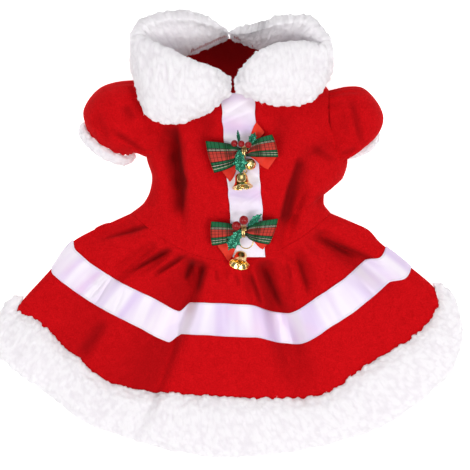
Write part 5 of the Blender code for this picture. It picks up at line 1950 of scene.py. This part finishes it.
UPPER_BOW = BowPlan(
    "upper",
    (0.0068, 0.0627),
    table(LoopRow, [
        ("upper_loop_left", -0.99, 0.29, -0.76, -0.55, 0.0),
        ("upper_loop_right", 0.72, 0.46, 0.88, -0.13, 0.6),
    ]),
    table(TailRow, [
        ("upper_tail_left", -0.55, -0.62, 0.24), ("upper_tail_right", 0.80, -0.30, 0.20),
        ("upper_tail_top", 0.46, 0.70, 0.16),
    ]),
    table(LeafRow, [
        ("upper_leaf_front", -0.13, 0.06, -85.5, 1.02, 0.98, 1.00, 0.00),
        ("upper_leaf_back", 0.13, 0.15, 66.0, 0.62, 0.55, 0.93, 0.25),
        ("upper_leaf_top", -0.12, 0.20, 97.0, 0.58, 0.22, 0.93, 0.16),
    ]),
    table(BerryRow, [
        ("upper_berry_1", -0.250, 0.225, 1.00), ("upper_berry_2", -0.070, 0.215, 1.33),
        ("upper_berry_3", 0.110, 0.185, 1.34),
    ]),
    0.00255,
)
LOWER_BOW = BowPlan(
    "lower",
    (0.0065, 0.0028),
    table(LoopRow, [
        ("lower_loop_left", -0.83, 0.26, -0.81, -0.38, -0.2),
        ("lower_loop_right", 0.89, 0.33, 0.65, -0.35, 0.3),
    ]),
    table(TailRow, [
        ("lower_tail_left", -0.58, -0.62, 0.24), ("lower_tail_right", 0.68, -0.34, 0.20),
    ]),
    table(LeafRow, [
        ("lower_leaf_front", -0.08, 0.03, -121.5, 0.96, 1.00, 1.00, 0.00),
        ("lower_leaf_back", 0.11, 0.14, 41.0, 0.74, 0.52, 0.93, 0.10),
    ]),
    table(BerryRow, [
        ("lower_berry_1", 0.005, 0.290, 1.30), ("lower_berry_2", -0.190, 0.145, 1.22),
    ]),
    0.0035,
)


@dataclass
class Ornament(Worn):
    """Something small that lies on the front of the bodice."""

    bodice: Bodice
    seat: float = 0.0018

    def base(self, spot: Sequence[float]) -> float:
        """The height that it lies at over a place in plan."""
        return float(self.bodice.height(*spot, self.seat))


@dataclass
class Bow(Ornament):
    """A bow of two plaid loops with red tails, holly, berries and the gold wire that binds it."""

    plan: BowPlan = UPPER_BOW
    reach: float = 0.0290
    knot_half_width: float = 0.0029
    knot_height: float = 0.0054
    loop_half_depth: float = 0.0042
    loop_ribbon: float = 0.0008
    ribbon_width: float = 0.0246
    tail_thickness: float = 0.0008
    tail_root_lift: float = 0.0017
    leaf_length: float = 0.0185
    leaf_half_width: float = 0.0058
    leaf_thickness: float = 0.0009
    leaf_level: float = 0.0100
    leaf_outline: tuple[tuple[float, float], ...] = (
        (0.00, 0.12), (0.19, 0.70), (0.29, 0.54), (0.46, 1.12), (0.58, 0.66), (0.72, 0.74), (0.84, 0.30),
        (1.00, 0.02),
    )
    tie_half_width: float = 0.0043
    tie_half_height: float = 0.0034
    tie_pitch: float = 0.0014
    tie_wire: float = 0.0006

    def on_seat(self, points: Array) -> Array:
        """Moves points from the bow's own flat frame onto the dress at its knot.

        Args:
            points: Points about the knot, with heights above what the bow lies on.

        Returns:
            The points on the dress.
        """
        moved = points + np.array((*self.plan.knot, 0.0))
        moved[:, 2] += self.bodice.height(moved[:, 0], moved[:, 1], self.seat)
        return moved

    def build_loop(self, row: LoopRow) -> bpy.types.Object:
        """Builds a loop, whose ribbon is gathered into pleats at the knot.

        Args:
            row: The loop.

        Returns:
            The piece.
        """
        side = 1 if row.top_x > 0 else -1
        pinched = 0.134

        def lay(u: Array, v: Array) -> Array:
            """The ribbon's points: u along it and v across it, with the painted shade of its pleats."""
            turn, across = pi * u, 2 * v - 1
            out = np.where((u > 0.002) & (u < 0.998), np.maximum(np.sin(turn), 0) ** 0.85, 0.0)
            spread = np.maximum(0.0, (out - pinched) / (1 - pinched))
            far_x = mix(row.low_x, row.top_x, v) * self.reach
            far_y = mix(row.low_y, row.top_y, v) * self.reach
            gather = 1 - smoothstep(0.0, 0.75, spread)
            pleats = 0.00080 * gather * np.cos(5 * pi * v + 0.6)
            pleats += 0.00065 * (1 - gather) * np.cos(3.1 * pi * v + 0.8)
            half_depth = self.loop_half_depth * mix(0.24, 1.0, spread) + 0.5 * self.loop_ribbon + pleats
            bend = -np.cos(turn) * half_depth
            tilt = across * row.lift * self.loop_half_depth * spread * 0.4
            bulge = 0.5 * self.loop_ribbon + 0.0009 * (1 - across**2)
            x = mix(0.0006 * side, far_x, out) + side * bulge * np.sin(turn) ** 4
            y = mix(across * self.knot_half_width, far_y, spread**0.40)
            # How deep in a pleat's valley near the knot each point lies, which the plaid paints as shade.
            valley = 0.9 * (1 - smoothstep(0.0, 0.95, spread)) * (0.5 - 0.5 * np.cos(5 * pi * v + 0.6)) ** 1.5
            return np.column_stack([self.on_seat(stack(x, y, self.knot_height + bend + tilt)), valley])

        bm = sheet_grid(96, 40, lay, (0.056, self.ribbon_width), "out")
        piece = finish_piece(row.name + "_ribbon", bm, self.wardrobe.plaid, [row.name], 0.0005)
        return piece

    def build_tail(self, row: TailRow) -> bpy.types.Object:
        """Builds a short tail with a slanted, slightly frayed end.

        Args:
            row: The tail.

        Returns:
            The piece.
        """
        tip = np.array((row.tip_x, row.tip_y)) * self.reach
        side = np.array((-tip[1], tip[0])) / np.hypot(*tip)

        def lay(u: Array, v: Array) -> Array:
            """The tail's points: u along it and v across it."""
            half = mix(0.30, 1.0, smoothstep(0, 0.9, u)) * row.half_width * self.reach
            lift = self.tail_root_lift * (1 - smoothstep(0.1, 0.7, u)) + self.tail_thickness
            lift = lift + 0.00045 * np.sin(pi * v) * np.sin(7 * u + 2) ** 2
            fray = 0.012 * np.abs(np.sin(9 * pi * v)) * smoothstep(0.9, 1.0, u)
            middle = tip * mix(0.22, 1.0, u - fray)[:, None] - tip * (0.12 * u * (1 - v))[:, None]
            plan = middle + side * (half * (2 * v - 1))[:, None]
            return self.on_seat(stack(plan[:, 0], plan[:, 1], lift))

        length = 0.8 * float(np.hypot(*tip))
        bm = sheet_grid(48, 36, lay, (length, 2 * row.half_width * self.reach), "up")
        piece = finish_piece(row.name + "_ribbon", bm, self.wardrobe.red_ribbon, [row.name], 0.0004)
        return piece

    def build_leaf(self, row: LeafRow) -> bpy.types.Object:
        """Builds a holly leaf with a spiny outline, a raised middle rib and cupped lobes.

        Args:
            row: The leaf.

        Returns:
            The piece.
        """
        way = np.array((cos(radians(row.bearing)), sin(radians(row.bearing))))
        side = np.array((-way[1], way[0]))
        root = np.array((row.root_x, row.root_y)) * self.reach
        at, wide = np.array(self.leaf_outline).T

        def half_width(along: Array) -> Array:
            """The outline's half width, with round bays between sharp spines."""
            k = np.clip(np.searchsorted(at, along, side="right") - 1, 0, len(at) - 2)
            t = (along - at[k]) / (at[k + 1] - at[k])
            shape = np.where(wide[k + 1] > wide[k], t**1.8, 1 - (1 - t) ** 1.8)
            return mix(wide[k], wide[k + 1], shape) * self.leaf_half_width * row.width

        def lay(u: Array, v: Array) -> Array:
            """The leaf's points: u from root to tip and v across it."""
            across = 2 * v - 1
            half = half_width(u)
            spine = 0.0016 * np.abs(across) ** 3 * (half / (self.leaf_half_width * row.width))
            plan = root + way * (u * self.leaf_length * row.length + spine)[:, None]
            plan = plan + side * (half * across)[:, None]
            level = self.leaf_level * (row.level - row.droop * u)
            ridge = self.leaf_thickness * (1 - smoothstep(0.0, 0.22, np.abs(across)))
            vein = 0.00016 * np.cos(26 * u - 7 * np.abs(across)) * np.abs(across)
            z = level + ridge - 0.16 * half * np.abs(across) + vein + 0.00035
            return self.on_seat(stack(plan[:, 0], plan[:, 1], z))

        bm = sheet_grid(90, 24, lay, (0.0185, 0.0116), "up")
        return finish_piece(row.name + "_holly", bm, self.wardrobe.holly, [row.name], 0.00045, sharp=75)

    def build_berry(self, row: BerryRow) -> bpy.types.Object:
        """Builds a berry, a little uneven and dimpled at its end.

        Args:
            row: The berry.

        Returns:
            The piece.
        """
        bm = bmesh.new()
        bmesh.ops.create_uvsphere(bm, u_segments=40, v_segments=26, radius=self.plan.berry_radius)
        for vert in bm.verts:
            dimple = 1 - 0.10 * float(1 - smoothstep(0.0, 0.30, (vert.co.xy.length / self.plan.berry_radius)))
            uneven = 1 + 0.018 * noise.noise(vert.co * 420 + Vector((row.level, row.x, row.y)) * 9)
            vert.co *= uneven * (dimple if vert.co.z < 0 else 1.0)
        x, y = self.plan.knot[0] + row.x * self.reach, self.plan.knot[1] + row.y * self.reach
        z = self.base((x, y)) + row.level * self.leaf_level
        bmesh.ops.rotate(bm, verts=bm.verts, matrix=Matrix.Rotation(radians(205), 3, "X"))
        bmesh.ops.translate(bm, verts=bm.verts, vec=(x, y, z))
        return finish_piece(row.name + "_bead", bm, self.wardrobe.berry, [row.name])

    def build_tie(self) -> bpy.types.Object:
        """Builds the gold wire that winds round the pinch.

        Returns:
            The piece.
        """
        turns, per_turn = 2.5, 8
        base = self.base(self.plan.knot) + self.knot_height
        path = []
        for k in range(int(turns * per_turn) + 1):
            angle = 2 * pi * k / per_turn - pi / 2
            y = self.tie_half_width * abs(cos(angle)) ** 0.8 * (1 if cos(angle) > 0 else -1)
            z = self.tie_half_height * abs(sin(angle)) ** 0.8 * (1 if sin(angle) > 0 else -1)
            x = (k / per_turn - turns / 2) * self.tie_pitch
            path.append((self.plan.knot[0] + x, self.plan.knot[1] + y, base + z))
        bm = cord(np.array(path), self.tie_wire, 160, 12, (1.0, 0.0, 0.0), closed=False)
        name = self.plan.prefix + "_tie"
        return finish_piece(name + "_wire", bm, self.wardrobe.gold_wire, [name])

    def build(self) -> list[bpy.types.Object]:
        """Builds the whole bow.

        Returns:
            Its pieces.
        """
        pieces = [self.build_loop(row) for row in self.plan.loops]
        pieces += [self.build_tail(row) for row in self.plan.tails]
        pieces += [self.build_leaf(row) for row in self.plan.leaves]
        pieces += [self.build_berry(row) for row in self.plan.berries]
        return [*pieces, self.build_tie()]


@dataclass
class Bells(Ornament):
    """The polished bells with their clappers, the rings that carry them and the hammered ball."""

    radius: float = 0.0080
    height: float = 0.0112
    wall: float = 0.0007
    tilts: tuple[float, float] = (15.0, 31.0)
    ball_radius: float = 0.0044
    ring_radius: float = 0.0052
    link_radius: float = 0.0014
    ring_wire: float = 0.0004
    stations: tuple[tuple[float, float], ...] = (
        (0.00, 1.00), (0.03, 0.99), (0.08, 0.94), (0.14, 0.87), (0.24, 0.77), (0.36, 0.69), (0.50, 0.635),
        (0.68, 0.60), (0.80, 0.565), (0.88, 0.50), (0.94, 0.38), (0.98, 0.22), (1.00, 0.0),
    )

    def turned(self, profile: Sequence[tuple[float, float]], steps: int, sides: int) -> bmesh.types.BMesh:
        """Turns a profile about the upright axis.

        Args:
            profile: Pairs of a radius and a height, from axis to axis.
            steps: Steps along the profile.
            sides: Sides round it.

        Returns:
            The closed form.
        """
        line = np.array(profile)

        def lay(u: Array, v: Array) -> Array:
            """The form's points: u round it and v along the profile."""
            spot = curve_through(line, v)
            radius = np.maximum(spot[:, 0], 0.0)
            return stack(radius * np.cos(2 * pi * u), radius * np.sin(2 * pi * u), spot[:, 1])

        return sheet_grid(sides, steps, lay, (0.05, 0.02), "out")

    def build_bell(self, prefix: str, rim: tuple[float, float], bearing: float, sink: float) -> list:
        """Builds a bell lying on its side, and its clapper.

        Args:
            prefix: The bow that it hangs from.
            rim: The middle of its rim, in plan.
            bearing: Where its mouth points, in degrees from +X.
            sink: How far it lies sunk in the cloth.

        Returns:
            The bell and its clapper.
        """
        turn, tilt = radians(bearing), radians(self.tilts[0] if prefix == "upper" else self.tilts[1])
        mouth = Vector((cos(turn) * cos(tilt), sin(turn) * cos(tilt), sin(tilt)))
        height = self.base(rim) + self.radius * cos(tilt) - sink
        turned = Vector((0, 0, 1)).rotation_difference(-mouth).to_matrix().to_4x4()
        place = Matrix.Translation((*rim, height)) @ turned
        outer = [(share * self.radius, up * self.height) for up, share in reversed(self.stations)]
        inner = [
            (max(share * self.radius - self.wall, 0.0), up * self.height - (self.wall if up > 0.3 else 0.0))
            for up, share in self.stations
        ]
        bell = self.turned(outer + inner, 100, 72)
        bead = 0.2 * self.radius
        stem_top = 0.99 * self.height - self.wall - 0.0003
        stem = [(0.0, stem_top), (0.30 * bead, stem_top), (0.30 * bead, 0.55 * stem_top)]
        drop = [(0.32, 1.2), (0.75, 0.72), (1.0, 0.0), (0.75, -0.7), (0.0, -1.0)]
        clapper = self.turned(stem + [(across * bead, up * bead) for across, up in drop], 40, 24)
        pieces = []
        for bm, node, name in ((bell, prefix + "_bell", "cup"), (clapper, prefix + "_clapper", "bead")):
            bmesh.ops.transform(bm, matrix=place, verts=bm.verts)
            bm.normal_update()
            pieces.append(finish_piece(f"{node}_{name}", bm, self.wardrobe.gold, [node], sharp=50))
        return pieces

    def build_ball(self, spot: tuple[float, float]) -> bpy.types.Object:
        """Builds the hammered ball.

        Args:
            spot: Its place in plan.

        Returns:
            The piece.
        """
        bm = bmesh.new()
        bmesh.ops.create_uvsphere(bm, u_segments=84, v_segments=56, radius=self.ball_radius)
        for vert in bm.verts:
            near = noise.voronoi(vert.co / 0.0019)[0][:2]
            hammered = 0.050 * float(1 - smoothstep(0.0, 0.62, near[0]))
            vert.co *= 1 - hammered - 0.012 * noise.noise(vert.co * 300)
        z = self.base(spot) + self.ball_radius
        bmesh.ops.translate(bm, verts=bm.verts, vec=(*spot, z))
        return finish_piece("upper_hammered_ball", bm, self.wardrobe.gold, ["upper_gold_ball"])

    def build_ring(
        self, node: str, spot: tuple[float, float], radius: float, lift: float, lean: float
    ) -> bpy.types.Object:
        """Builds a wire ring.

        Args:
            node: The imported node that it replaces.
            spot: Its middle in plan.
            radius: Its radius.
            lift: How far its middle is over what it lies on.
            lean: Its turn about X, in radians.

        Returns:
            The piece.
        """
        z = self.base(spot) + lift
        turns = np.linspace(0, 2 * pi, 33)
        flat = radius * np.sin(turns)
        path = stack(spot[0] + radius * np.cos(turns), spot[1] + flat * cos(lean), z + flat * sin(lean))
        bm = cord(path, self.ring_wire, 96, 10, (0.0, -sin(lean), cos(lean)), closed=True)
        return finish_piece(node + "_wire", bm, self.wardrobe.gold_wire, [node])

    def build(self) -> list[bpy.types.Object]:
        """Builds everything that is gold under the bows.

        Returns:
            The pieces.
        """
        upper, lower = UPPER_BOW.knot, LOWER_BOW.knot
        pieces = self.build_bell("upper", (upper[0] - 0.0011, upper[1] - 0.0267), -84.0, 0.0)
        pieces += self.build_bell("lower", (lower[0] - 0.0035, lower[1] - 0.0253), -102.0, 0.0017)
        pieces.append(self.build_ball((upper[0] + 0.0047, upper[1] - 0.0093)))
        link = (upper[0] + 0.0008, upper[1] - 0.0144)
        pieces.append(self.build_ring("upper_ring", link, self.link_radius, 0.0050, radians(35)))
        ring = (lower[0] + 0.0020, lower[1] - 0.0079)
        ends = [self.base((ring[0], ring[1] + k * self.ring_radius)) for k in (1, -1)]
        lean = np.arctan((ends[0] - ends[1]) / (2 * self.ring_radius))
        pieces.append(self.build_ring("lower_ring", ring, self.ring_radius, 1.3 * self.ring_wire, lean))
        return pieces


@dataclass
class Studio:
    """A flat white floor under soft light, with the camera straight above the dress."""

    view_width: float = 0.3572
    distance: float = 6.0
    focus_height: float = 0.020
    world_strength: float = 0.26
    key_power: float = 12.7
    fill_power: float = 5.0

    def build_floor(self) -> bpy.types.Object:
        """Builds the plain pale floor.

        Returns:
            The floor.
        """
        bm = bmesh.new()
        bmesh.ops.create_grid(bm, x_segments=8, y_segments=8, size=3.0)
        mesh = bpy.data.meshes.new("white_floor")
        bm.to_mesh(mesh)
        bm.free()
        paint = Paint("matt_white_floor")
        grain = paint.blend(paint.cloud(paint.place(), 900.0), (0.90, 0.90, 0.90), (0.94, 0.94, 0.94))
        paint.coat(Roughness=0.9, Base_Color=grain)
        paint.coat(Emission_Strength=0.85, Emission_Color=(1.0, 1.0, 1.0, 1.0))
        mesh.materials.append(paint.material)
        floor = put("white_floor", mesh)
        return floor

    def add_light(self, name: str, spot: Sequence[float], size: float, power: float) -> bpy.types.Object:
        """Adds a square soft light that faces the dress.

        Args:
            name: The light's name.
            spot: Where it stands.
            size: Its side.
            power: Its power.

        Returns:
            The light.
        """
        data = bpy.data.lights.new(name, "AREA")
        data.size = size
        data.energy = power
        light = put(name, data)
        light.location = spot
        light.rotation_euler = (-Vector(spot)).to_track_quat("-Z", "Y").to_euler()
        light.visible_camera = False
        return light

    def build(self) -> None:
        """Builds the floor, the lights, the sky and the camera."""
        scene = bpy.context.scene
        self.build_floor()
        self.add_light("right_key", (0.75, -0.45, 1.40), 0.80, self.key_power)
        self.add_light("left_key", (-0.75, -0.30, 1.45), 0.80, 0.75 * self.key_power)
        self.add_light("high_fill", (0.00, 1.00, 1.50), 1.2, self.fill_power)
        world = bpy.data.worlds.new("soft_room")
        world.use_nodes = True
        background = world.node_tree.nodes["Background"]
        wire = Wiring(world.node_tree)
        up = wire.add("SeparateXYZ", None, Vector=wire.add("TexCoord").outputs["Generated"]).outputs["Z"]
        stops = ((0.0, (0.30, 0.30, 0.31)), (0.45, (0.92, 0.92, 0.93)), (1.0, (1.25, 1.25, 1.25)))
        sky = wire.ramp(up, stops)
        wire.feed(background.inputs["Color"], sky)
        background.inputs["Strength"].default_value = self.world_strength
        scene.world = world
        data = bpy.data.cameras.new("camera_above")
        data.sensor_width = 36.0
        data.lens = data.sensor_width * self.distance / self.view_width
        data.clip_end = 50.0
        camera = put("camera_above", data)
        camera.location = (0.0, 0.0, self.distance + self.focus_height)
        scene.camera = camera
        scene.view_settings.view_transform = "Standard"


def main() -> None:
    """Builds the dress in order, from the fleece outwards, and reports its pieces."""
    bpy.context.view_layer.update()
    wardrobe = Wardrobe()
    bodice = Bodice(wardrobe)
    skirt = Skirt(wardrobe, bodice)
    sleeves = [
        Sleeve(wardrobe, bodice, "left", SLEEVE_LEFT, CREASES_LEFT),
        Sleeve(wardrobe, bodice, "right", SLEEVE_RIGHT, CREASES_RIGHT),
    ]
    pieces = [bodice.build(sleeves), skirt.build_fleece(), *skirt.build_stripe(), *skirt.build_trim()]
    for sleeve in sleeves:
        pieces += [sleeve.build(), *sleeve.build_cuff()]
    pieces += Placket(wardrobe, bodice).build()
    for side, rows in (("left", COLLAR_LEFT), ("right", COLLAR_RIGHT)):
        pieces += Collar(wardrobe, bodice, side, rows).build()
    for plan in (UPPER_BOW, LOWER_BOW):
        pieces += Bow(wardrobe, bodice, plan=plan).build()
    pieces += Bells(wardrobe, bodice).build()
    Studio().build()
    LOG.info("%d pieces", len(pieces))


if __name__ == "__main__":
    logging.basicConfig(level=logging.INFO, format="%(message)s")
    main()
